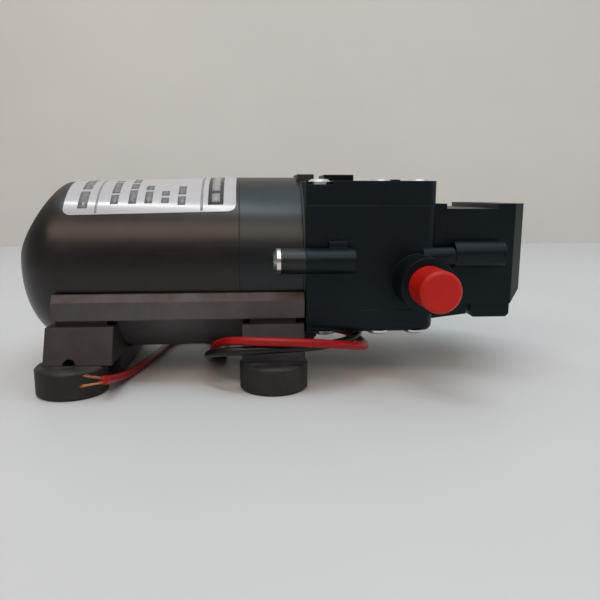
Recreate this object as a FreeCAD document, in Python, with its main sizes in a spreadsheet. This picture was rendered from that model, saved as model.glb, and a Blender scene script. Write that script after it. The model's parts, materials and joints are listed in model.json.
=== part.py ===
import FreeCAD, Part

import math
import os

import Sketcher

# Diaphragm water pump, 12 V size, in millimetres.
# +X runs from the motor to the pressure switch, +Z is up, the outlet port is on +Y.
# The origin is on the floor, below the centre of the whole pump.

# Driving dimensions

SIZES = {
    # Stations along the pump, rear to front
    "cover_length": 67.1,
    "ring_length": 18.8,
    "bell_length": 4.7,
    "head_length": 34.4,
    "flange_length": 4.6,
    "block_length": 16.2,
    "cap_length": 9.4,
    # Motor
    "axis_height": 34.25,
    "motor_radius": 26.95,
    "motor_wall": 2.0,
    "cover_draft": 0.74,
    "cover_corner_length": 16.0,
    "cover_corner_drop": 17.6,
    "cover_flat_start": 53.4,
    "cover_flat_angle": 60.0,
    "cover_flat_round": 0.9,
    "can_radius": 22.6,
    "can_wall": 1.6,
    "can_length": 72.3,
    "can_round": 4.0,
    "spigot_length": 3.5,
    "shell_play": 0.25,
    "bell_radius": 27.0,
    "bell_lip_height": 62.0,
    "bell_lip_hook": 0.8,
    "bell_lip_inset": 0.2,
    "bell_lip_width": 18.0,
    "magnet_thickness": 2.4,
    "magnet_length": 40.0,
    "magnet_gap_width": 14.0,
    "air_gap": 0.6,
    "core_length": 32.0,
    "core_start": 16.0,
    "slot_width": 3.0,
    "slot_depth": 8.0,
    "slot_count": 8,
    "coil_overhang": 5.0,
    "coil_radius": 16.0,
    "coil_hub_radius": 7.0,
    "commutator_radius": 6.5,
    "commutator_length": 9.0,
    "card_thickness": 2.0,
    "card_lap": 1.5,
    "shaft_radius": 2.5,
    "shaft_front": 10.5,
    "bearing_radius": 8.0,
    "bearing_width": 5.0,
    "brush_width": 4.0,
    "brush_height": 6.0,
    "spring_radius": 1.3,
    "running_play": 0.03,
    "part_play": 0.2,
    # Pump head
    "head_half_width": 27.8,
    "head_top": 59.6,
    "head_bottom": 14.9,
    "head_radius": 3.0,
    "lug_inset": 2.3,
    "lug_length": 5.3,
    "lug_height": 5.3,
    "lug_reach": 2.4,
    "cover_thickness": 7.0,
    "horn_length": 4.2,
    "horn_bore": 27.15,
    "chamber_offset": 15.0,
    "throw": 1.2,
    "hub_radius": 4.6,
    "hub_length": 4.6,
    "crank_radius": 3.0,
    "crank_bearing_radius": 5.0,
    "crank_bearing_width": 3.0,
    "yoke_ring_radius": 6.8,
    "yoke_width": 4.4,
    "plate_radius": 8.0,
    "plate_thickness": 1.2,
    "chamber_radius": 9.6,
    "diaphragm_radius": 13.2,
    "diaphragm_thickness": 1.6,
    "diaphragm_depth": 3.0,
    "valve_plate_thickness": 3.4,
    "chamber_rise": 2.1,
    "valve_offset": 5.2,
    "valve_radius": 3.5,
    "valve_thickness": 0.8,
    "valve_stem_radius": 1.2,
    "valve_hole_radius": 0.7,
    "plenum_depth": 2.2,
    "plenum_wall": 1.6,
    "gallery_radius": 2.0,
    "gallery_side": 17.5,
    "raised_block_height": 61.9,
    "raised_block_inset": 3.2,
    "raised_block_length": 9.4,
    "raised_block_width": 16.0,
    "screw_side": 24.0,
    "screw_front_inset": 5.0,
    "screw_middle_inset": 16.4,
    "screw_rear_top_inset": 34.5,
    "screw_rear_bottom_inset": 32.8,
    "screw_head_radius": 3.4,
    "screw_head_height": 1.6,
    "screw_radius": 1.3,
    "top_screw_length": 7.9,
    "bottom_screw_length": 8.6,
    "screw_sink": 1.1,
    "bottom_screw_sink": 0.4,
    "small_boss_inset": 7.0,
    "small_boss_radius": 2.4,
    # Motor screws and their bosses
    "boss_radius": 3.7,
    "boss_side": 31.0,
    "boss_height": 36.95,
    "ear_length": 7.1,
    "boss_length": 14.2,
    "motor_screw_radius": 1.9,
    "motor_screw_length": 20.0,
    "motor_screw_head": 2.0,
    # Ports
    "port_inset": 5.3,
    "port_height": 30.6,
    "collar_radius": 7.8,
    "collar_reach": 39.0,
    "port_bore_radius": 5.3,
    "port_bore_depth": 11.0,
    "plug_radius": 5.7,
    "plug_reach": 50.9,
    "plug_stem_length": 9.0,
    "plug_wall": 1.0,
    "plug_travel_play": 0.15,
    "seal_thickness": 1.6,
    # Pressure switch
    "switch_half_width": 22.0,
    "switch_top": 53.0,
    "switch_bottom": 22.2,
    "switch_body_drop": 1.5,
    "switch_height": 37.6,
    "switch_wall": 2.0,
    "tongue_bottom": 17.2,
    "tongue_rise": 1.5,
    "tongue_half_width": 20.0,
    "sensor_radius": 9.0,
    "sensor_thickness": 1.2,
    "sensor_pocket": 1.0,
    "plunger_radius": 7.0,
    "plunger_disc": 2.0,
    "plunger_stem": 2.5,
    "plunger_stem_length": 10.3,
    "switch_spring_radius": 4.4,
    "switch_spring_wire": 1.2,
    "adjuster_radius": 4.0,
    "adjuster_length": 13.6,
    "adjuster_hub": 6.5,
    "adjuster_socket": 2.3,
    "switch_boss_radius": 3.9,
    "web_drop": 2.4,
    "web_rise": 3.2,
    "switch_boss_side": 25.0,
    "head_boss_radius": 2.75,
    "head_boss_side": 26.3,
    "head_boss_inset": 4.0,
    "head_boss_length": 9.6,
    "switch_screw_radius": 1.4,
    "switch_screw_sink": 2.7,
    "terminal_length": 12.7,
    "terminal_depth": 4.6,
    "cap_bevel_depth": 4.0,
    "cap_bevel_length": 4.2,
    "cap_foot_rise": 4.0,
    "microswitch_length": 13.2,
    "microswitch_width": 6.4,
    "microswitch_height": 7.0,
    # Rail and feet
    "rail_length": 72.6,
    "rail_half_width": 28.5,
    "rail_bottom": 19.9,
    "rail_side_top": 25.2,
    "rail_top": 27.4,
    "rail_wall": 0.9,
    "rail_play": 0.1,
    "groove_side": 26.4,
    "groove_mouth": 1.6,
    "groove_width": 2.5,
    "groove_depth": 2.5,
    "foot_spacing": 57.85,
    "foot_front_inset": 9.25,
    "foot_side": 30.8,
    "foot_radius": 9.92,
    "foot_thickness": 8.0,
    "foot_hole_radius": 2.1,
    "front_bracket_half": 9.05,
    "rear_bracket_behind": 7.2,
    "rear_bracket_ahead": 11.9,
    "bracket_top": 18.2,
    "bracket_top_half_width": 29.2,
    "bracket_base_half_width": 33.5,
    "bracket_clearance": 0.35,
    "bracket_hole_depth": 1.2,
    "strap_half_width": 20.4,
    "strap_height": 2.0,
    "notch_radius": 1.8,
    "rib_play": 0.2,
    "rib_inset": 2.2,
    # Label and leads
    "label_length": 50.4,
    "label_thickness": 0.12,
    "label_front_gap": 0.7,
    "label_low": 50.8,
    "label_far": 20.0,
    "lead_radius": 1.25,
    "grommet_radius": 3.3,
    "grommet_thickness": 1.5,
    "grommet_height": 10.6,
    "strand_radius": 0.45,
}

# Centre lines of the two free leads, from the grommet to the bare ends

RED_ROUTE = [
    (14.5, -2.0, 10.6),
    (21.9, -2.0, 10.6),
    (27.4, -7.8, 9.0),
    (28.6, -17.8, 8.8),
    (26.4, -27.5, 10.7),
    (19.8, -35.4, 13.2),
    (8.8, -39.0, 15.0),
    (-3.2, -39.3, 15.6),
    (-12.6, -35.8, 15.2),
    (-17.8, -27.5, 12.4),
    (-19.6, -16.5, 7.4),
    (-20.6, -5.0, 3.0),
    (-21.0, 7.5, 1.3),
    (-20.9, 18.8, 1.3),
    (-24.1, 23.6, 1.3),
    (-29.5, 25.4, 1.3),
    (-34.9, 23.6, 1.3),
    (-38.1, 19.0, 1.3),
    (-39.3, 10.0, 1.3),
    (-41.0, 0.0, 1.3),
    (-42.9, -10.0, 1.3),
    (-45.1, -20.5, 1.7),
    (-46.6, -31.0, 3.4),
    (-47.4, -40.5, 6.0),
]

BLACK_ROUTE = [
    (14.5, 2.0, 10.6),
    (20.6, 2.0, 10.6),
    (26.0, -2.2, 12.0),
    (27.3, -11.0, 12.9),
    (26.0, -20.4, 12.9),
    (21.4, -28.4, 12.8),
    (13.6, -34.6, 12.9),
    (3.4, -37.4, 13.1),
    (-6.6, -38.0, 12.9),
    (-16.0, -35.6, 11.9),
    (-20.9, -28.0, 9.3),
    (-19.0, -16.8, 4.0),
    (-17.4, -5.0, 1.6),
    (-17.6, 6.0, 1.3),
    (-17.7, 17.0, 1.3),
    (-17.6, 28.0, 1.3),
    (-15.8, 37.5, 1.3),
    (-10.0, 44.0, 1.3),
    (-1.5, 46.9, 1.3),
    (6.5, 46.5, 1.3),
]

# Bare strands: how far each bundle runs on from the lead's end, along X, Y and Z
RED_STRANDS = [(-5.4, -1.2, 1.9), (-6.6, -0.6, -1.3)]
BLACK_STRANDS = [(5.5, -1.4, 0.2), (6.2, 0.9, -0.3)]

# Document, spreadsheet and expressions

doc = FreeCAD.newDocument("diaphragm_pump")
sheet = doc.addObject("Spreadsheet::Sheet", "dims")
for row, (alias, number) in enumerate(SIZES.items(), start=1):
    sheet.set("A%d" % row, alias)
    sheet.set("B%d" % row, str(number))
    sheet.setAlias("B%d" % row, alias)
doc.recompute()


class Size:
    """A length or angle kept as a spreadsheet expression, so that it follows the sheet."""

    def __init__(self, text):
        self.text = str(text)

    def join(self, sign, other):
        return Size("(%s %s %s)" % (self.text, sign, other.text if isinstance(other, Size) else other))

    def __add__(self, other):
        return self.join("+", other)

    def __sub__(self, other):
        return self.join("-", other)

    def __mul__(self, other):
        return self.join("*", other)

    def __truediv__(self, other):
        return self.join("/", other)

    def __neg__(self):
        return Size("(0 - %s)" % self.text)

    def __float__(self):
        return float(sheet.evalExpression(self.text))


def size(alias):
    """The named value of the sheet."""
    return Size("dims." + alias)


# Helpers that make document objects with bound sizes

parts = []


def named(kind, hint):
    return doc.addObject(kind, hint)


def bind(thing, **sizes):
    """Binds each property of an object to its expression."""
    for prop, value in sizes.items():
        thing.setExpression(prop, Size(value).text if not isinstance(value, Size) else value.text)
    return thing


def place(thing, x, y, z, axis=(0, 0, 1), angle=0.0):
    """Sets an object's turn and binds its position."""
    thing.Placement = FreeCAD.Placement(FreeCAD.Vector(0, 0, 0), FreeCAD.Rotation(FreeCAD.Vector(*axis), angle))
    for letter, value in zip("xyz", (x, y, z)):
        thing.setExpression("Placement.Base." + letter, Size(value).text if not isinstance(value, Size) else value.text)
    return thing


def box(x, y, z):
    """A box between two stations on each axis."""
    block = named("Part::Box", "box")
    spans = [high - low for low, high in (x, y, z)]
    bind(block, Length=spans[0], Width=spans[1], Height=spans[2])
    return place(block, x[0], y[0], z[0])


def rod(direction, start, end, centre, radius):
    """A cylinder along X, Y or Z from start to end; centre holds the two other coordinates."""
    cylinder = named("Part::Cylinder", "rod")
    bind(cylinder, Radius=radius, Height=end - start)
    if direction == "x":
        return place(cylinder, start, centre[0], centre[1], (0, 1, 0), 90)
    if direction == "y":
        return place(cylinder, centre[0], start, centre[1], (1, 0, 0), -90)
    return place(cylinder, centre[0], centre[1], start)


def cone(direction, start, end, centre, first, last):
    """A cone frustum along X, Y or Z."""
    frustum = named("Part::Cone", "cone")
    bind(frustum, Radius1=first, Radius2=last, Height=end - start)
    if direction == "x":
        return place(frustum, start, centre[0], centre[1], (0, 1, 0), 90)
    if direction == "y":
        return place(frustum, centre[0], start, centre[1], (1, 0, 0), -90)
    return place(frustum, centre[0], centre[1], start)


def fuse(*things):
    joined = named("Part::MultiFuse", "fuse")
    joined.Shapes = list(things)
    joined.Refine = True
    return joined


def cut(base, *tools):
    result = named("Part::Cut", "cut")
    result.Base = base
    result.Tool = tools[0] if len(tools) == 1 else fuse(*tools)
    return result


def common(*things):
    shared = named("Part::MultiCommon", "common")
    shared.Shapes = list(things)
    return shared


def group(*things):
    """Separate solids that share one node."""
    bundle = named("Part::Compound", "group")
    bundle.Links = list(things)
    return bundle


def sketch_on(body, plane, points):
    """A closed profile of straight lines with every corner bound to the sheet."""
    sketch = body.newObject("Sketcher::SketchObject", "profile")
    origin_planes = {feature.Role: feature for feature in body.Origin.OriginFeatures}
    sketch.AttachmentSupport = (origin_planes[plane], [""])
    sketch.MapMode = "FlatFace"
    corners = [[value if isinstance(value, Size) else Size(value) for value in point] for point in points]
    places = [FreeCAD.Vector(float(u), float(v), 0) for u, v in corners]
    count = len(places)
    for i in range(count):
        sketch.addGeometry(Part.LineSegment(places[i], places[(i + 1) % count]), False)
    for i in range(count):
        sketch.addConstraint(Sketcher.Constraint("Coincident", i, 2, (i + 1) % count, 1))
    for i, (u, v) in enumerate(corners):
        index = sketch.addConstraint(Sketcher.Constraint("DistanceX", -1, 1, i, 1, places[i].x))
        sketch.setExpression("Constraints[%d]" % index, u.text)
        index = sketch.addConstraint(Sketcher.Constraint("DistanceY", -1, 1, i, 1, places[i].y))
        sketch.setExpression("Constraints[%d]" % index, v.text)
    return sketch


def turned(points, x, y, z, turn=((0, 0, 1), 0.0)):
    """A revolved body: points are (along the axis, radius); the axis starts at x, y, z along +X."""
    body = named("PartDesign::Body", "turned")
    sketch = sketch_on(body, "XZ_Plane", points)
    spin = body.newObject("PartDesign::Revolution", "spin")
    spin.Profile = sketch
    spin.ReferenceAxis = (sketch, ["H_Axis"])
    spin.Angle = 360
    body.Tip = spin
    return place(body, x, y, z, *turn)


def slab(plane, points, low, high):
    """A profile on the XZ or YZ plane, drawn out from low to high along the plane's normal."""
    body = named("PartDesign::Body", "slab")
    sketch = sketch_on(body, plane, points)
    pad = body.newObject("PartDesign::Pad", "pad")
    pad.Profile = sketch
    bind(pad, Length=high - low)
    body.Tip = pad
    if plane == "XZ_Plane":
        pad.Reversed = True
        return place(body, 0, low, 0)
    return place(body, low, 0, 0)


def edges_where(shape, test):
    return ["Edge%d" % (i + 1) for i, edge in enumerate(shape.Edges) if test(edge)]


def runs_along(edge, letter):
    """True for a straight edge along one axis."""
    span = edge.BoundBox
    spans = {"x": span.XLength, "y": span.YLength, "z": span.ZLength}
    others = [spans[other] for other in spans if other != letter]
    return len(edge.Vertexes) == 2 and max(others) < 1e-6 and spans[letter] > 1e-6


def softened(base, radius, test):
    """Rounds the edges of a Part object that pass the test."""
    doc.recompute()
    rounded = named("Part::Fillet", "round")
    rounded.Base = base
    numbers = [int(name[4:]) for name in edges_where(base.Shape, test)]
    rounded.Edges = [(number, float(radius), float(radius)) for number in numbers]
    return rounded


def made(label, shape, place_at=(0, 0, 0)):
    """A solid that neither a body nor the primitives can make."""
    feature = named("Part::Feature", "made")
    feature.Shape = shape
    feature.Placement = FreeCAD.Placement(FreeCAD.Vector(*place_at), FreeCAD.Rotation())
    feature.Label = label
    return feature


def piece(label, thing):
    """Names a finished sub-part."""
    thing.Label = label
    parts.append(thing)
    return thing


# Stations and centres that several pieces share

total_length = (
    size("cover_length") + size("ring_length") + size("bell_length") + size("head_length")
    + size("flange_length") + size("block_length") + size("cap_length")
)
x_rear = -total_length / 2
x_cover = x_rear + size("cover_length")
x_ring = x_cover + size("ring_length")
x_head = x_ring + size("bell_length")
x_horn = x_head - size("horn_length")
x_switch = x_head + size("head_length")
x_block = x_switch + size("flange_length")
x_cap = x_block + size("block_length")
x_end = x_cap + size("cap_length")

zero = Size(0)
motor_z = size("axis_height")
motor_axis = (zero, motor_z)
shell_inner = size("motor_radius") - size("motor_wall")

seam_top = size("head_top") - size("cover_thickness")
seam_bottom = size("head_bottom") + size("cover_thickness")
seam_middle = (seam_top + seam_bottom) / 2
chamber_x = x_head + size("chamber_offset")
port_x = x_switch - size("port_inset")
port_z = size("port_height")
half_head = size("head_half_width")
switch_z = size("switch_height")
half_switch = size("switch_half_width")

x_screw_front = x_switch - size("screw_front_inset")
x_screw_middle = x_switch - size("screw_middle_inset")
x_screw_rear_top = x_switch - size("screw_rear_top_inset")
x_screw_rear_bottom = x_switch - size("screw_rear_bottom_inset")

x_foot_front = x_ring - size("foot_front_inset")
x_foot_rear = x_foot_front - size("foot_spacing")

running = size("running_play")
play = size("part_play")


# Motor

def motor_cover():
    """Moulded rear shell: a slightly drooping taper, an elliptical rear corner and a sloped flat above it."""
    draft = math.radians(float(size("cover_draft")))
    front = float(size("motor_radius"))
    corner_length = float(size("cover_corner_length"))
    corner_drop = float(size("cover_corner_drop"))
    shoulder = float(size("cover_length")) - corner_length
    lead_in = 1.0
    axis = FreeCAD.Vector(1, 0, 0)
    slope = math.radians(float(size("cover_flat_angle")))
    outward = FreeCAD.Vector(-math.sin(slope), 0, math.cos(slope))
    flat_start = FreeCAD.Vector(-float(size("cover_flat_start")), 0, front - shoulder * math.tan(draft))
    reach = front * 2

    def filled(inset):
        top = FreeCAD.Vector(-shoulder, 0, front - shoulder * math.tan(draft) - inset)
        middle = top - FreeCAD.Vector(0, 0, corner_drop - inset)
        low = middle - axis * (corner_length - inset)
        first = FreeCAD.Vector(lead_in, 0, front - inset + lead_in * math.tan(draft))
        edges = [
            Part.makeLine(axis * lead_in, first),
            Part.makeLine(first, top),
            Part.ArcOfEllipse(Part.Ellipse(top, low, middle), 0, math.pi / 2).toShape(),
            Part.makeLine(low, FreeCAD.Vector(low.x, 0, 0)),
            Part.makeLine(FreeCAD.Vector(low.x, 0, 0), axis * lead_in),
        ]
        solid = Part.Face(Part.Wire(edges)).revolve(FreeCAD.Vector(0, 0, 0), axis, 360)
        return solid.cut(Part.makeCylinder(reach, reach, flat_start - outward * inset, outward))

    outer = filled(0.0)
    rim = [
        edge for edge in outer.Edges
        if all(abs((vertex.Point - flat_start).dot(outward)) < 1e-4 for vertex in edge.Vertexes)
        and abs((edge.CenterOfMass - flat_start).dot(outward)) < 1e-3
    ]
    outer = outer.makeFillet(float(size("cover_flat_round")), rim)
    shell = made("cover_shell", outer.cut(filled(float(size("motor_wall")))))
    place(shell, x_cover, zero, motor_z, (0, -1, 0), float(size("cover_draft")))
    keep = box((x_rear - reach, x_cover), (-reach, reach), (zero, Size(reach * 2)))
    piece("motor_cover", common(shell, keep))


def front_ring():
    """Front collar of the motor shell, with a spigot into the cover and two screw ears."""
    outer = size("motor_radius")
    spigot = shell_inner - size("shell_play") * 2
    can_hole = size("can_radius") + size("running_play")
    sleeve = turned(
        [
            (x_cover - size("spigot_length"), can_hole),
            (x_cover - size("spigot_length"), spigot),
            (x_cover, spigot),
            (x_cover, outer),
            (x_ring, outer),
            (x_ring, can_hole),
        ],
        0, 0, motor_z,
    )
    ears = []
    for side in (-1, 1):
        y_boss = size("boss_side") * side
        x_ear = x_ring + size("running_play") - size("ear_length")
        ears.append(rod("x", x_ear, x_ring, (y_boss, size("boss_height")), size("boss_radius")))
        web_inner = (size("motor_radius") - size("motor_wall") / 2) * side
        web = (web_inner, y_boss) if side > 0 else (y_boss, web_inner)
        half_web = size("boss_radius") * 0.8
        ears.append(box((x_ear, x_ring), web, (size("boss_height") - half_web, size("boss_height") + half_web)))
    holes = [
        rod("x", x_cover, x_ring + 1, (size("boss_side") * side, size("boss_height")),
            size("motor_screw_radius") + running)
        for side in (-1, 1)
    ]
    bore = rod("x", x_cover - size("spigot_length") - 1, x_ring + 1, motor_axis, can_hole)
    piece("front_ring", cut(fuse(sleeve, *ears), bore, *holes))


def front_bell():
    """Front end plate of the motor with the bearing seat and the lip on top."""
    x_seat = x_head - size("bearing_width")
    seat = size("bearing_radius") + running
    behind = x_ring - size("bearing_radius") / 3
    shaft_hole = size("shaft_radius") * 1.6
    plate = turned(
        [
            (x_ring, size("can_radius") - size("can_wall")),
            (x_ring, size("bell_radius")),
            (x_head, size("bell_radius")),
            (x_head, seat),
            (x_seat, seat),
            (x_seat, shaft_hole),
            (behind, shaft_hole),
            (behind, size("bearing_radius") + 2.5),
            (x_ring, size("bearing_radius") + 2.5),
        ],
        0, 0, motor_z,
    )
    half_lip = size("bell_lip_width") / 2
    x_hook = x_ring - size("bell_lip_hook")
    lip = cut(
        box((x_hook, x_head - size("bell_lip_inset")), (-half_lip, half_lip),
            (motor_z + size("bell_radius") - 4, size("bell_lip_height"))),
        rod("x", x_hook - 1, x_ring, motor_axis, size("motor_radius") + running),
    )
    screw_ways = [
        rod("x", x_ring - 1, x_head + 1, (size("boss_side") * side, size("boss_height")),
            size("boss_radius") + play)
        for side in (-1, 1)
    ]
    piece("front_bell", cut(fuse(plate, lip), *screw_ways))


def motor_can():
    """Steel can of the motor with its rear bearing cup and the round rear edge."""
    outer = size("can_radius")
    inner = outer - size("can_wall")
    x_front = x_ring
    x_back = x_front - size("can_length")
    cup = size("bearing_radius") + size("can_wall")
    shaft_hole = size("shaft_radius") * 1.6
    blank = turned(
        [
            (x_back, shaft_hole),
            (x_back, outer),
            (x_front, outer),
            (x_front, inner),
            (x_back + size("can_wall"), inner),
            (x_back + size("can_wall"), cup),
            (x_back + size("can_wall") + size("bearing_width"), cup),
            (x_back + size("can_wall") + size("bearing_width"), size("bearing_radius") + running),
            (x_back + size("can_wall"), size("bearing_radius") + running),
            (x_back + size("can_wall"), shaft_hole),
        ],
        0, 0, motor_z,
    )
    back = float(x_back)
    rim = 2 * float(outer)
    piece("motor_can", softened(
        blank, size("can_round") * 0.9,
        lambda edge: abs(edge.BoundBox.XMax - back) < 1e-3 and abs(edge.BoundBox.ZLength - rim) < 1e-3,
    ))


x_can_back = x_ring - size("can_length")
x_rear_bearing = x_can_back + size("can_wall")
x_commutator = x_rear_bearing + size("bearing_width") + 1.5
x_brush = x_commutator + size("commutator_length") / 2
x_card = x_commutator + size("commutator_length") - size("card_lap")
x_core = x_ring - size("core_start") - size("core_length")
x_core_front = x_core + size("core_length")


def bearings():
    """Two ball bearings, each drawn as one ring."""
    for label, start in (("rear_bearing", x_rear_bearing), ("front_bearing", x_head - size("bearing_width"))):
        ring = turned(
            [
                (start, size("shaft_radius") + running),
                (start, size("bearing_radius")),
                (start + size("bearing_width"), size("bearing_radius")),
                (start + size("bearing_width"), size("shaft_radius") + running),
            ],
            0, 0, motor_z,
        )
        piece(label, ring)


magnet_outer = size("can_radius") - size("can_wall")
magnet_inner = magnet_outer - size("magnet_thickness")
core_radius = magnet_inner - size("air_gap")
x_magnet = (x_core + x_core_front) / 2 - size("magnet_length") / 2


def magnets():
    """Two magnet arcs inside the can."""
    tube = cut(
        rod("x", x_magnet, x_magnet + size("magnet_length"), motor_axis, magnet_outer),
        rod("x", x_magnet - 1, x_magnet + size("magnet_length") + 1, motor_axis, magnet_inner),
    )
    half_gap = size("magnet_gap_width") / 2
    reach = magnet_outer + 1
    gap = box((x_magnet - 1, x_magnet + size("magnet_length") + 1), (-half_gap, half_gap),
              (motor_z - reach, motor_z + reach))
    piece("magnets", cut(tube, gap))


def armature_core():
    """Laminated core with straight slots."""
    body = named("PartDesign::Body", "core")
    outline = body.newObject("Sketcher::SketchObject", "outline")
    planes = {feature.Role: feature for feature in body.Origin.OriginFeatures}
    outline.AttachmentSupport = (planes["YZ_Plane"], [""])
    outline.MapMode = "FlatFace"
    for radius in (core_radius, size("shaft_radius")):
        index = outline.addGeometry(Part.Circle(FreeCAD.Vector(0, 0, 0), FreeCAD.Vector(0, 0, 1), float(radius)), False)
        outline.addConstraint(Sketcher.Constraint("Coincident", index, 3, -1, 1))
        number = outline.addConstraint(Sketcher.Constraint("Radius", index, float(radius)))
        outline.setExpression("Constraints[%d]" % number, radius.text)
    pad = body.newObject("PartDesign::Pad", "stack")
    pad.Profile = outline
    bind(pad, Length=size("core_length"))
    half = size("slot_width") / 2
    floor = core_radius - size("slot_depth")
    slot = sketch_on(body, "YZ_Plane", [
        (-half, floor), (half, floor), (half, core_radius + 1), (-half, core_radius + 1),
    ])
    pocket = body.newObject("PartDesign::Pocket", "slot")
    pocket.Profile = slot
    pocket.Type = 1
    pocket.Reversed = True
    ring = body.newObject("PartDesign::PolarPattern", "slots")
    ring.Originals = [pocket]
    ring.Axis = (outline, ["N_Axis"])
    ring.Angle = 360
    bind(ring, Occurrences=size("slot_count"))
    body.Tip = ring
    place(body, x_core, zero, motor_z)
    piece("armature_core", body)


def windings():
    """Copper coils: a bar in each slot, joined by the end turns."""
    half = size("slot_width") / 2 - play / 2
    floor = core_radius - size("slot_depth") + play / 2
    bars = []
    count = int(float(size("slot_count")))
    for i in range(count):
        bar = named("Part::Box", "bar")
        bind(bar, Length=size("core_length") + size("coil_overhang"), Width=half * 2,
             Height=size("coil_radius") - floor)
        angle = 360.0 * i / count
        bar.Placement = FreeCAD.Placement(
            FreeCAD.Vector(0, 0, 0), FreeCAD.Rotation(FreeCAD.Vector(1, 0, 0), angle)
        )
        turn = math.radians(angle)
        start = x_core - size("coil_overhang") / 2
        place_bar(bar, start, half, floor, turn)
        bars.append(bar)
    ends = []
    for start, end in ((x_core - size("coil_overhang"), x_core - play),
                       (x_core_front + play, x_core_front + size("coil_overhang"))):
        ends.append(cut(
            rod("x", start, end, motor_axis, size("coil_radius")),
            rod("x", start - 1, end + 1, motor_axis, size("coil_hub_radius")),
        ))
    piece("windings", fuse(*bars, *ends))


def place_bar(bar, start, half, floor, turn):
    """Puts a slot bar on the motor axis at its angle."""
    cosine = math.cos(turn)
    sine = math.sin(turn)
    y = -half * cosine - floor * sine
    z = motor_z - half * sine + floor * cosine
    for letter, value in (("x", start), ("y", y), ("z", z)):
        bar.setExpression("Placement.Base." + letter, value.text)


def commutator():
    blank = turned(
        [
            (x_commutator, size("shaft_radius")),
            (x_commutator, size("commutator_radius")),
            (x_commutator + size("commutator_length"), size("commutator_radius")),
            (x_commutator + size("commutator_length"), size("shaft_radius")),
        ],
        0, 0, motor_z,
    )
    piece("commutator", blank)


x_shaft_tip = x_head + size("shaft_front")


def motor_shaft():
    """Steel shaft through both bearings, with a turned groove behind the crank."""
    tip = size("shaft_radius") / 5
    start = x_can_back + size("can_wall") / 2
    piece("motor_shaft", turned(
        [
            (start, 0),
            (start, size("shaft_radius") - tip),
            (start + tip, size("shaft_radius")),
            (x_shaft_tip - tip, size("shaft_radius")),
            (x_shaft_tip, size("shaft_radius") - tip),
            (x_shaft_tip, 0),
        ],
        0, 0, motor_z,
    ))


def brush_gear():
    """Card with two brass holders, the two brushes and their springs."""
    card_radius = magnet_outer - running
    card_hole = size("commutator_radius") + 1.5
    card = cut(
        rod("x", x_card, x_card + size("card_thickness"), motor_axis, card_radius),
        rod("x", x_card - 1, x_card + size("card_thickness") + 1, motor_axis, card_hole),
    )
    half_width = size("brush_width") / 2
    half_height = size("brush_height") / 2
    wall = 0.6
    holders = []
    brushes = []
    springs = []
    inner = size("commutator_radius") + size("air_gap")
    tail = inner + size("brush_height")
    outer = card_radius - 1
    for side in (-1, 1):
        def span(low, high):
            return (low, high) if side > 0 else (-high, -low)
        shell = box((x_brush - half_width - wall, x_card),
                    span(inner + 1, outer),
                    (motor_z - half_height - wall, motor_z + half_height + wall))
        way = box((x_brush - half_width - running, x_brush + half_width + running),
                  span(inner, outer - wall),
                  (motor_z - half_height - running, motor_z + half_height + running))
        holders.append(cut(shell, way))
        brushes.append(box((x_brush - half_width, x_brush + half_width),
                           span(size("commutator_radius") + running, tail),
                           (motor_z - half_height, motor_z + half_height)))
        low, high = span(tail, outer - wall)
        springs.append(cut(
            rod("y", low, high, (x_brush, motor_z), size("spring_radius")),
            rod("y", low - 1, high + 1, (x_brush, motor_z), size("spring_radius") / 2),
        ))
    piece("brush_card", card)
    piece("brush_holders", group(*holders))
    piece("brushes", group(*brushes))
    piece("brush_springs", group(*springs))


# Crank and diaphragms

hub_start = x_shaft_tip - size("hub_length") + play
hub_end = chamber_x - size("yoke_width") / 2 - play
throw = size("throw")
crank_axis = (throw, motor_z)


def eccentric():
    """Hub pressed on the shaft's end with its crank pin off centre."""
    hub = cut(
        rod("x", hub_start, hub_end, motor_axis, size("hub_radius")),
        rod("x", hub_start - 1, x_shaft_tip + play / 2, motor_axis, size("shaft_radius")),
    )
    pin = rod("x", hub_end, chamber_x + size("yoke_width") / 2, crank_axis, size("crank_radius"))
    piece("eccentric", fuse(hub, pin))


def eccentric_bearing():
    half = size("crank_bearing_width") / 2
    start = chamber_x - half
    end = chamber_x + half
    piece("eccentric_bearing", cut(
        rod("x", start, end, crank_axis, size("crank_bearing_radius")),
        rod("x", start - 1, end + 1, crank_axis, size("crank_radius") + running),
    ))


top_film_low = seam_top - size("diaphragm_depth")
top_film_high = top_film_low + size("diaphragm_thickness")
bottom_film_high = seam_bottom + size("diaphragm_depth")
bottom_film_low = bottom_film_high - size("diaphragm_thickness")


def con_rod():
    """Yoke: bearing eye, two arms and the two discs that carry the diaphragms."""
    half = size("yoke_width") / 2
    arm_half = size("yoke_width")
    eye = rod("x", chamber_x - half, chamber_x + half, crank_axis, size("yoke_ring_radius"))
    arm = box((chamber_x - half, chamber_x + half), (throw - arm_half, throw + arm_half),
              (bottom_film_high, top_film_low))
    centre = (chamber_x, throw)
    discs = [
        rod("z", top_film_low - size("plate_thickness"), top_film_low, centre, size("plate_radius")),
        rod("z", bottom_film_high, bottom_film_high + size("plate_thickness"), centre, size("plate_radius")),
    ]
    seat = rod("x", chamber_x - half - 1, chamber_x + half + 1, crank_axis, size("crank_bearing_radius"))
    screw_holes = [
        rod("z", top_film_low - size("plate_thickness") - 3, top_film_low + 1, centre, size("screw_radius")),
    ]
    piece("con_rod", cut(fuse(eye, arm, *discs), seat, *screw_holes))


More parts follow.
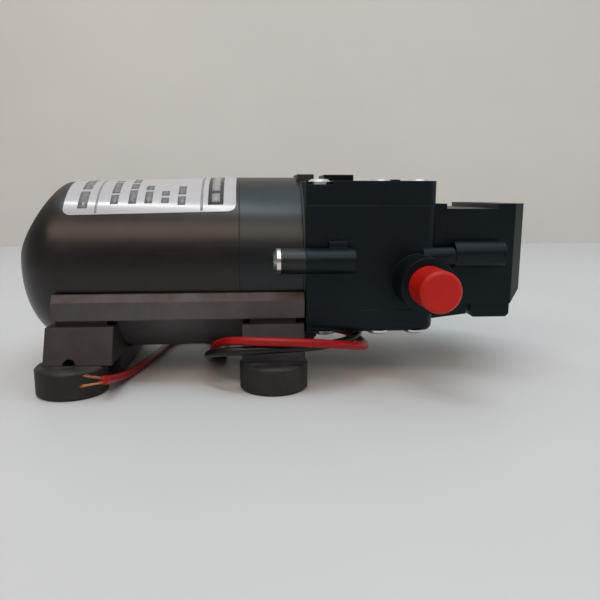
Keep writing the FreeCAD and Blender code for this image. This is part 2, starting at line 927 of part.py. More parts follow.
def clamp_plates():
    """Outer discs that hold the middle of each diaphragm, and their screws."""
    centre = (chamber_x, throw)
    head = size("screw_radius") * 1.9
    sink = size("plate_thickness") - play
    top = cut(
        rod("z", top_film_high, top_film_high + size("plate_thickness"), centre, size("plate_radius")),
        rod("z", top_film_high - 1, top_film_high + size("plate_thickness") + 1, centre, size("screw_radius")),
        rod("z", top_film_high + size("plate_thickness") - sink, top_film_high + size("plate_thickness") + 1,
            centre, head),
    )
    bottom = cut(
        rod("z", bottom_film_low - size("plate_thickness"), bottom_film_low, centre, size("plate_radius")),
        rod("z", bottom_film_low - size("plate_thickness") - 1, bottom_film_low + 1, centre, size("screw_radius")),
        rod("z", bottom_film_low - size("plate_thickness") - 1,
            bottom_film_low - size("plate_thickness") + sink, centre, head),
    )
    piece("clamp_plates", group(top, bottom))
    top_screw = fuse(
        rod("z", top_film_low - size("plate_thickness") - 3 + play, top_film_high + play + 0.1, centre,
            size("screw_radius") - running),
        rod("z", top_film_high + size("plate_thickness") - sink, top_film_high + size("plate_thickness"),
            centre, head - running),
    )
    bottom_screw = fuse(
        rod("z", bottom_film_low - play - 0.1, bottom_film_high, centre, size("screw_radius") - running),
        rod("z", bottom_film_low - size("plate_thickness"),
            bottom_film_low - size("plate_thickness") + sink, centre, head - running),
    )
    piece("clamp_screws", group(top_screw, bottom_screw))


def diaphragms():
    """Rubber discs held at the rim by the valve plates and in the middle by the clamp discs."""
    hole = size("screw_radius")
    for label, low, high in (
        ("top_diaphragm", top_film_low, top_film_high),
        ("bottom_diaphragm", bottom_film_low, bottom_film_high),
    ):
        piece(label, cut(
            rod("z", low, high, (chamber_x, zero), size("diaphragm_radius")),
            rod("z", low - 1, high + 1, (chamber_x, throw), hole),
        ))


def valve_plate(label, seam, sign, film_face):
    """Round plate with the rim that clamps the diaphragm, a dished chamber and the valve seats."""
    def away(value):
        return value * sign
    outer_face = seam + away(size("valve_plate_thickness"))
    ceiling = seam + away(size("chamber_rise"))
    low, high = (film_face, outer_face) if sign > 0 else (outer_face, film_face)
    dish = (film_face - 1, ceiling) if sign > 0 else (ceiling, film_face + 1)
    plate = cut(
        rod("z", low, high, (chamber_x, zero), size("diaphragm_radius") - play / 2),
        rod("z", dish[0], dish[1], (chamber_x, zero), size("chamber_radius")),
    )
    holes = []
    for side in (-1, 1):
        y_valve = size("valve_offset") * side
        holes.append(rod("z", low - 1, high + 1, (chamber_x, y_valve), size("valve_stem_radius") + running))
        for dx, dy in ((1, 0), (-1, 0), (0, 1), (0, -1)):
            reach = size("valve_radius") * 0.62
            holes.append(rod("z", low - 1, high + 1, (chamber_x + reach * dx, y_valve + reach * dy),
                             size("valve_hole_radius")))
    piece(label, cut(plate, *holes))
    return ceiling, outer_face


def umbrella(y_valve, face, back, sign):
    """Umbrella valve: a thin rubber cap on one face and a stem with a knob through the plate."""
    thickness = size("valve_thickness") * sign
    stem_end = back - size("valve_thickness") * 1.2 * sign
    cap_low, cap_high = (face, face + thickness) if sign > 0 else (face + thickness, face)
    stem_low, stem_high = (stem_end, face) if sign > 0 else (face, stem_end)
    knob_low, knob_high = (stem_end, back) if sign > 0 else (back, stem_end)
    return fuse(
        rod("z", cap_low, cap_high, (chamber_x, y_valve), size("valve_radius")),
        rod("z", stem_low, stem_high, (chamber_x, y_valve), size("valve_stem_radius")),
        rod("z", knob_low, knob_high, (chamber_x, y_valve), size("valve_stem_radius") * 1.25),
    )


def valve_sets():
    """Valve plates and the four umbrella valves: inlet on the near side, outlet on the far side."""
    inlet = -size("valve_offset")
    outlet = size("valve_offset")
    top_ceiling, top_face = valve_plate("top_valve_plate", seam_top, 1, top_film_high)
    low_ceiling, low_face = valve_plate("bottom_valve_plate", seam_bottom, -1, bottom_film_low)
    piece("inlet_valves", group(
        umbrella(inlet, top_ceiling, top_face, -1),
        umbrella(inlet, low_ceiling, low_face, 1),
    ))
    piece("outlet_valves", group(
        umbrella(outlet, top_face, top_ceiling, 1),
        umbrella(outlet, low_face, low_ceiling, -1),
    ))


# Pump head

def head_block(low, high):
    """Part of the head between two levels: a rounded box with horns that embrace the motor."""
    blank = box((x_horn, x_switch), (-half_head, half_head), (low, high))
    front = float(x_switch)
    rounded = softened(
        blank, size("head_radius"),
        lambda edge: runs_along(edge, "z") and abs(edge.BoundBox.XMax - front) < 1e-3,
    )
    motor_room = rod("x", x_horn - 1, x_head, motor_axis, size("horn_bore"))
    return rounded, motor_room


def gallery_holes(low, high):
    return [rod("z", low, high, (port_x, size("gallery_side") * side), size("gallery_radius")) for side in (-1, 1)]


def screw_places(rear):
    return [(x, size("screw_side") * side) for side in (-1, 1) for x in (rear, x_screw_middle, x_screw_front)]


def screw_bores(rear, low, high, radius):
    return [rod("z", low, high, spot, radius) for spot in screw_places(rear)]


def top_cover():
    """Upper head cover with two plenums, channels to the galleries and the raised block."""
    block, motor_room = head_block(seam_top, size("head_top"))
    half_raised = size("raised_block_width") / 2
    x_raised = x_head + size("raised_block_inset")
    raised = box((x_raised, x_raised + size("raised_block_length")), (-half_raised, half_raised),
                 (size("head_top") - 1, size("raised_block_height")))
    boss = rod("z", size("head_top") - 1, size("head_top") + 1, (x_switch - size("small_boss_inset"), zero),
               size("small_boss_radius"))
    head_sink = size("head_top") - size("screw_sink")
    sink_radius = size("screw_head_radius") + play
    sinks = screw_bores(x_screw_rear_top, head_sink, size("head_top") + 1, sink_radius)
    for side in (-1, 1):
        span = (size("screw_side"), half_head + 1) if side > 0 else (-half_head - 1, -size("screw_side"))
        sinks.append(box((x_screw_rear_top - sink_radius, x_screw_rear_top + sink_radius), span,
                         (head_sink, size("head_top") + 1)))
    shanks = screw_bores(x_screw_rear_top, seam_top - 1, size("head_top"), size("screw_radius") + running)
    body = fuse(block, raised, boss)
    shell = cut(body, motor_room, cover_cavity(seam_top, 1), *sinks, *shanks)
    piece("top_cover", shell)


def bottom_cover():
    """Lower head cover, the mirror of the upper one inside, with screw heads on its underside."""
    block, motor_room = head_block(size("head_bottom"), seam_bottom)
    shanks = screw_bores(x_screw_rear_bottom, size("head_bottom") - 1, seam_bottom + 1,
                         size("screw_radius") + running)
    front = float(x_switch)
    low = float(size("head_bottom"))
    shell = cut(block, motor_room, cover_cavity(seam_bottom, -1), *shanks)
    rounded = softened(
        shell, size("head_radius") * 0.8,
        lambda edge: abs(edge.BoundBox.ZMax - low) < 1e-3 and abs(edge.BoundBox.ZMin - low) < 1e-3
        and edge.BoundBox.XMax > front - 3.3 and edge.BoundBox.YLength + edge.BoundBox.XLength > 1.5
        and edge.BoundBox.XMin > front - 3.3,
    )
    sinks = screw_bores(x_screw_rear_bottom, size("head_bottom") - 1, size("head_bottom") + size("bottom_screw_sink"),
                        size("screw_head_radius") + play)
    piece("bottom_cover", cut(rounded, *sinks))


def cover_cavity(seam, sign):
    """Recess for the valve plate, the inlet and outlet plenums and their channels."""
    def level(distance):
        return seam + distance * sign

    def between(start, end):
        return (level(start), level(end)) if sign > 0 else (level(end), level(start))

    plate = size("valve_plate_thickness")
    roof = plate + size("plenum_depth")
    low, high = between(Size(-1), plate)
    recess = rod("z", low, high, (chamber_x, zero), size("diaphragm_radius"))
    low, high = between(plate - 0.5, roof)
    plenum = rod("z", low, high, (chamber_x, zero), size("chamber_radius"))
    half_wall = size("plenum_wall") / 2
    low, high = between(plate, roof + 1)
    divider = box((chamber_x - size("chamber_radius") - 1, chamber_x + size("chamber_radius") + 1),
                  (-half_wall, half_wall), (low, high))
    plenums = cut(plenum, divider)
    channels = []
    for side in (-1, 1):
        low, high = between(plate, roof)
        near = size("valve_offset") - size("gallery_radius")
        far = size("gallery_side") + size("gallery_radius")
        span = (near, far) if side > 0 else (-far, -near)
        channels.append(box((port_x - size("gallery_radius"), port_x + size("gallery_radius")), span, (low, high)))
        short = size("valve_offset") + size("gallery_radius")
        span = (near, short) if side > 0 else (-short, -near)
        channels.append(box((chamber_x, port_x), span, (low, high)))
        low, high = between(Size(-1), plate + 0.5)
        channels.append(rod("z", low, high, (port_x, size("gallery_side") * side), size("gallery_radius")))
    return fuse(recess, plenums, *channels)


def crankcase():
    """Middle of the head: crank room, diaphragm seats, galleries, ports and the screw bosses."""
    block, motor_room = head_block(seam_bottom, seam_top)
    collars = []
    bores = []
    for side in (-1, 1):
        y_in, y_out = half_head - size("head_radius"), size("collar_reach")
        span = (y_in, y_out) if side > 0 else (-y_out, -y_in)
        collars.append(rod("y", span[0], span[1], (port_x, port_z), size("collar_radius")))
        y_floor = size("collar_reach") - size("port_bore_depth")
        span = (y_floor, y_out + 1) if side > 0 else (-y_out - 1, -y_floor)
        bores.append(rod("y", span[0], span[1], (port_x, port_z), size("port_bore_radius")))
        y_way = size("gallery_side") - size("gallery_radius") * 1.3
        span = (y_way, y_floor + 1) if side > 0 else (-y_floor - 1, -y_way)
        bores.append(rod("y", span[0], span[1], (port_x, port_z), size("gallery_radius") * 1.5))
    bosses = []
    boss_bores = []
    for side in (-1, 1):
        y_boss = size("boss_side") * side
        bosses.append(rod("x", x_ring + running, x_ring + size("boss_length"), (y_boss, size("boss_height")),
                          size("boss_radius")))
        inner = half_head - size("head_radius")
        web = (inner, y_boss) if side > 0 else (y_boss, -inner)
        half_web = size("boss_radius") * 0.8
        bosses.append(box((x_head, x_ring + size("boss_length")), web,
                          (size("boss_height") - half_web, size("boss_height") + half_web)))
        lug_end = half_head + size("lug_reach")
        lug = (inner, lug_end) if side > 0 else (-lug_end, -inner)
        x_lug = x_head + size("lug_inset")
        bosses.append(box((x_lug, x_lug + size("lug_length")), lug,
                          (size("boss_height"), size("boss_height") + size("lug_height"))))
        boss_bores.append(rod("x", x_ring - 1, x_ring + size("motor_screw_length") - size("ear_length") + 0.5,
                              (y_boss, size("boss_height")), size("motor_screw_radius") + running))
        y_small = size("head_boss_side") * side
        x_small = x_switch - size("head_boss_inset")
        bosses.append(rod("x", x_small, x_small + size("head_boss_length"), (y_small, switch_z),
                          size("head_boss_radius")))
        boss_bores.append(rod("x", x_switch - 2.0, x_block + 2, (y_small, switch_z),
                              size("switch_screw_radius") + running))
    room = rod("z", bottom_film_high - 1, top_film_low + 1, (chamber_x, zero), size("chamber_radius"))
    seats = [
        rod("z", top_film_low, seam_top + 1, (chamber_x, zero), size("diaphragm_radius")),
        rod("z", seam_bottom - 1, bottom_film_high, (chamber_x, zero), size("diaphragm_radius")),
    ]
    tunnel = rod("x", x_head - 1, chamber_x, motor_axis, size("hub_radius") + 0.8)
    links = [
        rod("y", Size(-2), size("gallery_side"), (port_x, port_z), Size(1.5)),
        rod("x", port_x, x_switch + 1, (zero, port_z), Size(1.2)),
        rod("x", x_switch - size("sensor_pocket"), x_switch + 1, (zero, switch_z), size("sensor_radius") - 1),
    ]
    top_shanks = screw_bores(x_screw_rear_top, size("head_top") - size("screw_sink") - size("top_screw_length") - 0.5,
                             seam_top + 1, size("screw_radius") + running)
    bottom_shanks = screw_bores(x_screw_rear_bottom, seam_bottom - 1,
                                size("head_bottom") + size("bottom_screw_sink") + size("bottom_screw_length") + 0.5,
                                size("screw_radius") + running)
    solid = fuse(cut(block, motor_room), *collars, *bosses)
    piece("crankcase", cut(
        solid, room, tunnel, *seats, *bores, *boss_bores, *links,
        *gallery_holes(seam_bottom - 1, seam_top + 1), *top_shanks, *bottom_shanks,
    ))


def pan_screw(direction, spot, seat, length, radius, head_radius, head_height, sign):
    """Screw with a slightly domed pan head and a cross slot; sign is the way that the head faces."""
    tip = seat - length * sign
    top = seat + head_height * sign
    middle = seat + head_height * 0.55 * sign
    shank = (tip, seat) if sign > 0 else (seat, tip)
    lower = (seat, middle) if sign > 0 else (middle, seat)
    upper = (middle, top) if sign > 0 else (top, middle)
    small = head_radius * 0.72
    first, last = (head_radius, small) if sign > 0 else (small, head_radius)
    solid = fuse(
        rod(direction, shank[0], shank[1], spot, radius),
        rod(direction, lower[0], lower[1], spot, head_radius),
        cone(direction, upper[0], upper[1], spot, first, last),
    )
    slots = []
    arm = head_radius * 0.55
    half = head_radius * 0.12
    floor = seat + head_height * 0.45 * sign
    depth = (floor, top + 1) if sign > 0 else (top - 1, floor)
    for a, b in ((arm, half), (half, arm)):
        if direction == "z":
            slots.append(box((spot[0] - a, spot[0] + a), (spot[1] - b, spot[1] + b), depth))
        else:
            slots.append(box(depth, (spot[0] - a, spot[0] + a), (spot[1] - b, spot[1] + b)))
    return cut(solid, *slots)


def fasteners():
    """Cover screws above and below, and the two long screws that join the motor to the head."""
    top_seat = size("head_top") - size("screw_sink")
    bottom_seat = size("head_bottom") + size("bottom_screw_sink")
    piece("top_cover_screws", group(*[
        pan_screw("z", spot, top_seat, size("top_screw_length"), size("screw_radius"),
                  size("screw_head_radius"), size("screw_head_height"), 1)
        for spot in screw_places(x_screw_rear_top)
    ]))
    piece("bottom_cover_screws", group(*[
        pan_screw("z", spot, bottom_seat, size("bottom_screw_length"), size("screw_radius"),
                  size("screw_head_radius"), size("screw_head_height") - play * 2, -1)
        for spot in screw_places(x_screw_rear_bottom)
    ]))
    seat = x_ring + running - size("ear_length")
    piece("motor_screws", group(*[
        pan_screw("x", (size("boss_side") * side, size("boss_height")), seat, size("motor_screw_length"),
                  size("motor_screw_radius"), size("boss_radius"), size("motor_screw_head"), -1)
        for side in (-1, 1)
    ]))


# Ports

def port_parts():
    """Sealing rings in the ports and the two transport plugs."""
    seal_radius = size("seal_thickness") / 2
    y_seal = size("collar_reach") - size("port_bore_depth") + seal_radius
    rings = []
    for side in (-1, 1):
        ring = named("Part::Torus", "seal")
        bind(ring, Radius1=size("port_bore_radius") - seal_radius - running, Radius2=seal_radius)
        place(ring, port_x, y_seal * side, port_z, (1, 0, 0), 90)
        rings.append(ring)
    piece("port_seals", group(*rings))
    grip = size("plug_radius")
    stem = size("port_bore_radius") - size("plug_travel_play")
    wall = size("plug_wall")
    rim = size("collar_reach")
    reach = size("plug_reach")
    nose = 0.8
    for label, angle, side in (("near_plug", -90, -1), ("far_plug", 90, 1)):
        plug = turned(
            [
                (rim - size("plug_stem_length"), stem - wall),
                (rim - size("plug_stem_length"), stem),
                (rim, stem),
                (rim, grip),
                (reach - nose, grip),
                (reach, grip - nose),
                (reach, 0),
                (reach - wall * 1.5, 0),
                (reach - wall * 1.5, stem - wall),
            ],
            port_x, zero, port_z, ((0, 0, 1), angle),
        )
        piece(label, plug)


# Pressure switch

x_sensor = x_switch + size("sensor_thickness")
x_disc = x_sensor + 0.1
x_adjuster = x_end - size("cap_bevel_length") / 6 - size("adjuster_length")


def switch_base():
    """Adapter on the head's front face with the sensor seat and the tongue below."""
    inner = size("sensor_radius")
    plate = box((x_switch, x_block), (-half_switch, half_switch), (size("switch_bottom"), size("switch_top")))
    tongue = slab("XZ_Plane", [
        (x_switch, size("tongue_bottom")),
        (x_block + size("block_length") / 2, size("tongue_bottom") + size("tongue_rise")),
        (x_block + size("block_length") / 2, size("switch_bottom") - running),
        (x_block, size("switch_bottom") - running),
        (x_block, size("switch_bottom") + 1),
        (x_switch, size("switch_bottom") + 1),
    ], -size("tongue_half_width"), size("tongue_half_width"))
    seat = rod("x", x_switch - 1, x_sensor, (zero, switch_z), inner)
    guide = rod("x", x_sensor - 0.5, x_block + 1, (zero, switch_z), size("plunger_radius") + play)
    piece("switch_base", cut(fuse(plate, tongue), seat, guide))


def switch_diaphragm():
    piece("switch_diaphragm", rod("x", x_switch, x_sensor, (zero, switch_z), size("sensor_radius") - running))


def pressure_plunger():
    """Disc and stem that the water pressure pushes against the spring."""
    disc = rod("x", x_disc, x_disc + size("plunger_disc"), (zero, switch_z), size("plunger_radius"))
    stem = rod("x", x_disc, x_disc + size("plunger_disc") + size("plunger_stem_length"), (zero, switch_z),
               size("plunger_stem"))
    piece("pressure_plunger", fuse(disc, stem))


def switch_spring():
    """Pressure spring between the plunger disc and the adjusting screw."""
    start = x_disc + size("plunger_disc")
    outer = size("switch_spring_radius")
    piece("switch_spring", cut(
        rod("x", start, x_adjuster, (zero, switch_z), outer),
        rod("x", start - 1, x_adjuster + 1, (zero, switch_z), outer - size("switch_spring_wire")),
    ))


def adjusting_screw():
    """Screw at the end of the switch that sets the cut-out pressure."""
    end = x_adjuster + size("adjuster_length")
    blank = rod("x", x_adjuster, end, (zero, switch_z), size("adjuster_radius"))
    half = size("adjuster_socket") / 6
    long_half = size("adjuster_radius") * 0.7
    slot = box((end - size("adjuster_socket"), end + 1), (-long_half, long_half), (switch_z - half, switch_z + half))
    socket = rod("x", end - size("adjuster_socket"), end + 1, (zero, switch_z), size("adjuster_socket") / 2)
    piece("adjusting_screw", cut(blank, slot, socket))


def switch_body():
    """Hollow middle of the switch with a screw boss on each side."""
    wall = size("switch_wall")
    top = size("switch_top") - size("switch_body_drop")
    shell = box((x_block, x_cap), (-half_switch, half_switch), (size("switch_bottom"), top))
    room = box((x_block - 1, x_cap + 1), (-half_switch + wall * 2, half_switch - wall * 2),
               (size("switch_bottom") + wall, top - wall))
    bosses = []
    bores = []
    for side in (-1, 1):
        y_boss = size("switch_boss_side") * side
        x_start = x_switch - size("head_boss_inset") + size("head_boss_length") + play
        bosses.append(rod("x", x_start, x_cap + 0.5, (y_boss, switch_z + 0.4), size("switch_boss_radius")))
        web = (half_switch - 1, y_boss) if side > 0 else (y_boss, -half_switch + 1)
        bosses.append(box((x_start, x_cap), web, (switch_z - size("web_drop"), switch_z + size("web_rise"))))
        spot = (size("head_boss_side") * side, switch_z)
        bores.append(rod("x", x_start - 1, x_cap + 1, spot, size("switch_screw_radius") + running))
        bores.append(rod("x", x_cap + 0.5 - size("switch_screw_sink"), x_cap + 1, spot, Size(2.1)))
    piece("switch_body", cut(fuse(shell, *bosses), room, *bores))
    seat = x_cap + 0.5 - size("switch_screw_sink")
    screws = []
    for side in (-1, 1):
        spot = (size("head_boss_side") * side, switch_z)
        screws.append(pan_screw("x", spot, seat, seat - x_switch + 1, size("switch_screw_radius"), Size(2.0),
                                Size(1.4), 1))
    piece("switch_screws", group(*screws))


def switch_cap():
    """End cap with bevelled sides, a sloped foot and the guide for the adjusting screw."""
    bevel = size("cap_bevel_depth")
    x_bevel = x_end - size("cap_bevel_length")
    side_view = slab("XZ_Plane", [
        (x_cap, size("switch_bottom")),
        (x_bevel, size("switch_bottom")),
        (x_end, size("switch_bottom") + size("cap_foot_rise")),
        (x_end, size("switch_top")),
        (x_cap, size("switch_top")),
    ], -half_switch, half_switch)
    plan = named("PartDesign::Body", "plan")
    sketch = sketch_on(plan, "XY_Plane", [
        (x_cap, -half_switch),
        (x_bevel, -half_switch),
        (x_end, -half_switch + bevel),
        (x_end, half_switch - bevel),
        (x_bevel, half_switch),
        (x_cap, half_switch),
    ])
    pad = plan.newObject("PartDesign::Pad", "pad")
    pad.Profile = sketch
    bind(pad, Length=size("switch_top") + 1)
    plan.Tip = pad
    wall = size("switch_wall")
    room = box((x_cap - 1, x_end - wall * 1.6), (-half_switch + wall * 2.6, half_switch - wall * 2.6),
               (size("switch_bottom") + wall * 2.4, size("switch_top") - wall))
    guide = rod("x", x_cap + 1.5, x_end - 0.5, (zero, switch_z), size("adjuster_hub"))
    bore = rod("x", x_cap - 1, x_end + 1, (zero, switch_z), size("adjuster_radius") + running)
    boss_room = [
        rod("x", x_cap - 1, x_cap + 0.5 + play, (size("switch_boss_side") * side, switch_z + 0.4),
            size("switch_boss_radius") + play)
        for side in (-1, 1)
    ]
    piece("switch_cap", cut(fuse(cut(common(side_view, plan), room), guide), bore, *boss_room))


def switch_contacts():
    """Microswitch beside the spring, its button, its two blades and the terminal cover below."""
    x_micro = x_disc + size("plunger_disc") + 3.0
    half = size("microswitch_width") / 2
    low = switch_z + size("switch_spring_radius") + play
    high = low + size("microswitch_height")
    z_button = switch_z + size("plunger_radius") - 1.1
    case = box((x_micro, x_micro + size("microswitch_length")), (-half, half), (low, high))
    button_way = rod("x", x_micro - 1, x_micro + 4, (zero, z_button), Size(1.0))
    piece("microswitch", cut(case, button_way))
    piece("microswitch_button", rod("x", x_disc + size("plunger_disc"), x_micro + 2.5, (zero, z_button), Size(0.9)))
    blades = [
        box((x_micro + size("microswitch_length"), x_micro + size("microswitch_length") + 4),
            (Size(y - 0.4), Size(y + 0.4)), (low + 2.5, low + 5.5))
        for y in (-2.0, 2.0)
    ]
    piece("switch_blades", group(*blades))
    x_terminal = x_block + size("block_length") / 2 + 1.2
    inner = size("tongue_half_width")
    piece("terminal_cover", slab("XZ_Plane", [
        (x_terminal, size("switch_bottom") - running),
        (x_terminal, size("switch_bottom") - size("terminal_depth") + 1.2),
        (x_terminal + 1.2, size("switch_bottom") - size("terminal_depth")),
        (x_terminal + size("terminal_length") - 1.0, size("switch_bottom") - size("terminal_depth")),
        (x_terminal + size("terminal_length"), size("switch_bottom") - size("terminal_depth") + 1.0),
        (x_terminal + size("terminal_length"), size("switch_bottom") - running),
    ], -inner, inner))


# Rail and feet

rail_end = x_ring
rail_start = rail_end - size("rail_length")
cradle_inner = size("motor_radius") + size("rail_play")
cradle_outer = cradle_inner + size("rail_wall")
groove_y = size("groove_side")


def dovetail(side, mouth, top, low, high, start, end):
    """A trapezoid bar along X, wider at the top."""
    y = groove_y * side
    return slab("YZ_Plane", [
        (y - mouth / 2, low),
        (y + mouth / 2, low),
        (y + top / 2, high),
        (y - top / 2, high),
    ], start, end)


def rail_cradle():
    """Cradle under the motor with a grooved rail on each side."""
    shell = rod("x", rail_start, rail_end, motor_axis, cradle_outer)
    reach = size("rail_half_width") + 1
    lower = common(shell, box((rail_start, rail_end), (-reach, reach), (zero, size("rail_top"))))
    rails = []
    grooves = []
    inner = size("groove_side") - size("groove_width") * 1.2
    for side in (-1, 1):
        outline = [
            (inner * side, size("rail_bottom")),
            (size("rail_half_width") * side, size("rail_bottom")),
            (size("rail_half_width") * side, size("rail_side_top")),
            ((size("rail_half_width") - 1.5) * side, size("rail_top")),
            (inner * side, size("rail_top")),
        ]
        rails.append(slab("YZ_Plane", outline if side > 0 else outline[::-1], rail_start, rail_end))
        grooves.append(dovetail(side, size("groove_mouth"), size("groove_width"), size("rail_bottom") - 0.01,
                                size("rail_bottom") + size("groove_depth"), rail_start - 1, rail_end + 1))
    motor = rod("x", rail_start - 1, rail_end + 1, motor_axis, cradle_inner)
    piece("rail_cradle", cut(fuse(lower, *rails), motor, *grooves))


def foot_bracket(label, x_centre, behind, ahead, notched):
    """Saddle that slides along the rails and carries two rubber feet."""
    start = x_centre - behind
    end = x_centre + ahead
    low = size("foot_thickness")
    top_half = size("bracket_top_half_width")
    base_half = size("bracket_base_half_width")
    block = slab("YZ_Plane", [
        (-base_half, low),
        (base_half, low),
        (top_half, size("bracket_top")),
        (-top_half, size("bracket_top")),
    ], start, end)
    strap = box((start, end), (-size("strap_half_width"), size("strap_half_width")), (size("strap_height"), low + 1))
    ribs = []
    cuts = [rod("x", start - 1, end + 1, motor_axis, cradle_outer + size("bracket_clearance"))]
    for side in (-1, 1):
        rib_low = size("bracket_top") - 1
        ribs.append(slab("YZ_Plane", [
            (groove_y * side - size("groove_mouth") / 2 + play, rib_low),
            (groove_y * side + size("groove_mouth") / 2 - play, rib_low),
            (groove_y * side + size("groove_mouth") / 2 - play, size("rail_bottom")),
            (groove_y * side + size("groove_width") / 2 - play * 1.1,
             size("rail_bottom") + size("groove_depth") - size("rib_play")),
            (groove_y * side - size("groove_width") / 2 + play * 1.1,
             size("rail_bottom") + size("groove_depth") - size("rib_play")),
            (groove_y * side - size("groove_mouth") / 2 + play, size("rail_bottom")),
        ], start + size("rib_inset"), end - size("rib_inset")))
        cuts.append(rod("z", low - 1, low + size("bracket_hole_depth"), (x_centre, size("foot_side") * side),
                        size("foot_hole_radius")))
        if notched:
            y_in, y_out = size("foot_side"), base_half + 1
            span = (y_in, y_out) if side > 0 else (-y_out, -y_in)
            cuts.append(rod("y", span[0], span[1], (x_centre, low), size("notch_radius")))
    piece(label, cut(fuse(block, strap, *ribs), *cuts))


def rubber_feet():
    """Four round rubber feet with the screw hole down their middle."""
    corners = {
        "rear_near_foot": (x_foot_rear, -1),
        "rear_far_foot": (x_foot_rear, 1),
        "front_near_foot": (x_foot_front, -1),
        "front_far_foot": (x_foot_front, 1),
    }
    top = size("foot_thickness")
    edge = 0.6
    for label, (x_centre, side) in corners.items():
        disc = named("PartDesign::Body", "foot")
        sketch = sketch_on(disc, "XZ_Plane", [
            (size("foot_hole_radius"), 0),
            (size("foot_radius") - edge, 0),
            (size("foot_radius"), edge),
            (size("foot_radius"), top - edge),
            (size("foot_radius") - edge, top),
            (size("foot_hole_radius"), top),
        ])
        spin = disc.newObject("PartDesign::Revolution", "spin")
        spin.Profile = sketch
        spin.ReferenceAxis = (sketch, ["V_Axis"])
        spin.Angle = 360
        disc.Tip = spin
        place(disc, x_centre, size("foot_side") * side, zero)
        piece(label, disc)


# Label, grommet and leads

def label_strip():
    """Thin label wrapped over the top of the motor cover."""
    draft = math.radians(float(size("cover_draft")))
    front = float(size("motor_radius"))
    thickness = float(size("label_thickness"))
    lift = 0.01
    x_front = -float(size("label_front_gap"))
    x_back = x_front - float(size("label_length"))

    def tapered(extra):
        first = front + x_back * math.tan(draft) + extra
        last = front + x_front * math.tan(draft) + extra
        return Part.makeCone(first, last, x_front - x_back, FreeCAD.Vector(x_back, 0, 0), FreeCAD.Vector(1, 0, 0))

    ring = tapered(lift + thickness).cut(tapered(lift))
    rise = float(size("label_low")) - float(motor_z)
    near = math.sqrt(front ** 2 - rise ** 2)
    far = float(size("label_far"))
    far_rise = math.sqrt(front ** 2 - far ** 2)
    corner = 2.5
    wedge = Part.Face(Part.makePolygon([
        FreeCAD.Vector(x_back - 1, 0, 0),
        FreeCAD.Vector(x_back - 1, -near * 2, rise * 2),
        FreeCAD.Vector(x_back - 1, 0, front * 3),
        FreeCAD.Vector(x_back - 1, far * 2, far_rise * 2),
        FreeCAD.Vector(x_back - 1, 0, 0),
    ])).extrude(FreeCAD.Vector(x_front - x_back + 2, 0, 0))
    strip = ring.common(wedge)
    for angle, turn in ((math.atan2(rise, -near), -1), (math.atan2(far_rise, far), 1)):
        radial = FreeCAD.Vector(0, math.cos(angle), math.sin(angle))
        around = FreeCAD.Vector(0, math.sin(angle), -math.cos(angle)) * turn
        for x_corner, along in ((x_back, 1), (x_front, -1)):
            start = radial * (front - 3) + FreeCAD.Vector(x_corner, 0, 0)
            step_x = FreeCAD.Vector(along * corner, 0, 0)
            step_turn = around * (-corner)
            square = Part.Face(Part.makePolygon([
                start - step_x - step_turn,
                start + step_x - step_turn,
                start + step_x + step_turn,
                start - step_x + step_turn,
                start - step_x - step_turn,
            ])).extrude(radial * 6)
            centre = Part.makeCylinder(corner, 8, start + step_x + step_turn - radial, radial)
            strip = strip.cut(square.cut(centre).common(square))
    sticker = made("label", strip)
    place(sticker, x_cover, zero, motor_z, (0, -1, 0), float(size("cover_draft")))
    piece("label", sticker)


def grommet():
    """Rubber bush in the motor's front plate that the leads come out of."""
    start = x_head
    piece("lead_grommet", rod("x", start, start + size("grommet_thickness"), (zero, size("grommet_height")),
                              size("grommet_radius")))


def tube_path(points):
    """Straight runs joined by tangent arcs, each as large as its two runs allow."""
    share = 0.45
    corners = [FreeCAD.Vector(*point) for point in points]
    edges = []
    radii = []
    length = 0.0
    start = corners[0]
    for before, corner, after in zip(corners, corners[1:], corners[2:]):
        inward = (corner - before).normalize()
        outward = (after - corner).normalize()
        half_turn = inward.getAngle(outward) / 2
        reach = share * min((corner - before).Length, (after - corner).Length)
        radius = reach / math.tan(half_turn)
        radii.append(radius)
        first = corner - inward * reach
        last = corner + outward * reach
        bisector = (outward - inward).normalize()
        middle = corner + bisector * (radius / math.cos(half_turn) - radius)
        edges.append(Part.LineSegment(start, first).toShape())
        edges.append(Part.Arc(first, middle, last).toShape())
        start = last
    edges.append(Part.LineSegment(start, corners[-1]).toShape())
    for edge in edges:
        length += edge.Length
    return Part.Wire(edges), radii, length


def lead(label, points):
    """Free lead: a round tube along its path, with its numbers printed."""
    path, radii, length = tube_path(points)
    radius = float(size("lead_radius"))
    direction = FreeCAD.Vector(*points[1]) - FreeCAD.Vector(*points[0])
    ring = Part.Wire(Part.makeCircle(radius, FreeCAD.Vector(*points[0]), direction))
    tube = path.makePipeShell([ring], True, False)
    expected = math.pi * radius ** 2 * length
    print("%s: length %.1f, smallest radius %.1f, volume %.1f of %.1f"
          % (label, length, min(radii), tube.Volume, expected))
    piece(label, made(label, tube))


def strands(label, points, bundles):
    """Bare copper strands at the end of a lead, twisted into tapering bundles."""
    tip = FreeCAD.Vector(*points[-1])
    along = (tip - FreeCAD.Vector(*points[-2])).normalize()
    radius = float(size("strand_radius"))
    solids = []
    across = along.cross(FreeCAD.Vector(0, 0, 1)).normalize()
    up = across.cross(along)
    for i, reach in enumerate(bundles):
        shift = up * radius * (1.15 if i == 0 else -1.15)
        root = tip + shift
        first = root + along * 1.2
        end = first + FreeCAD.Vector(*reach)
        collar = Part.makeCylinder(radius, 1.2, root, along)
        tail = Part.makeCone(radius, radius * 0.45, (end - first).Length, first, end - first)
        joint = Part.makeSphere(radius, first)
        solids.append(collar.fuse([joint, tail]).removeSplitter())
    piece(label, made(label, Part.makeCompound(solids)))


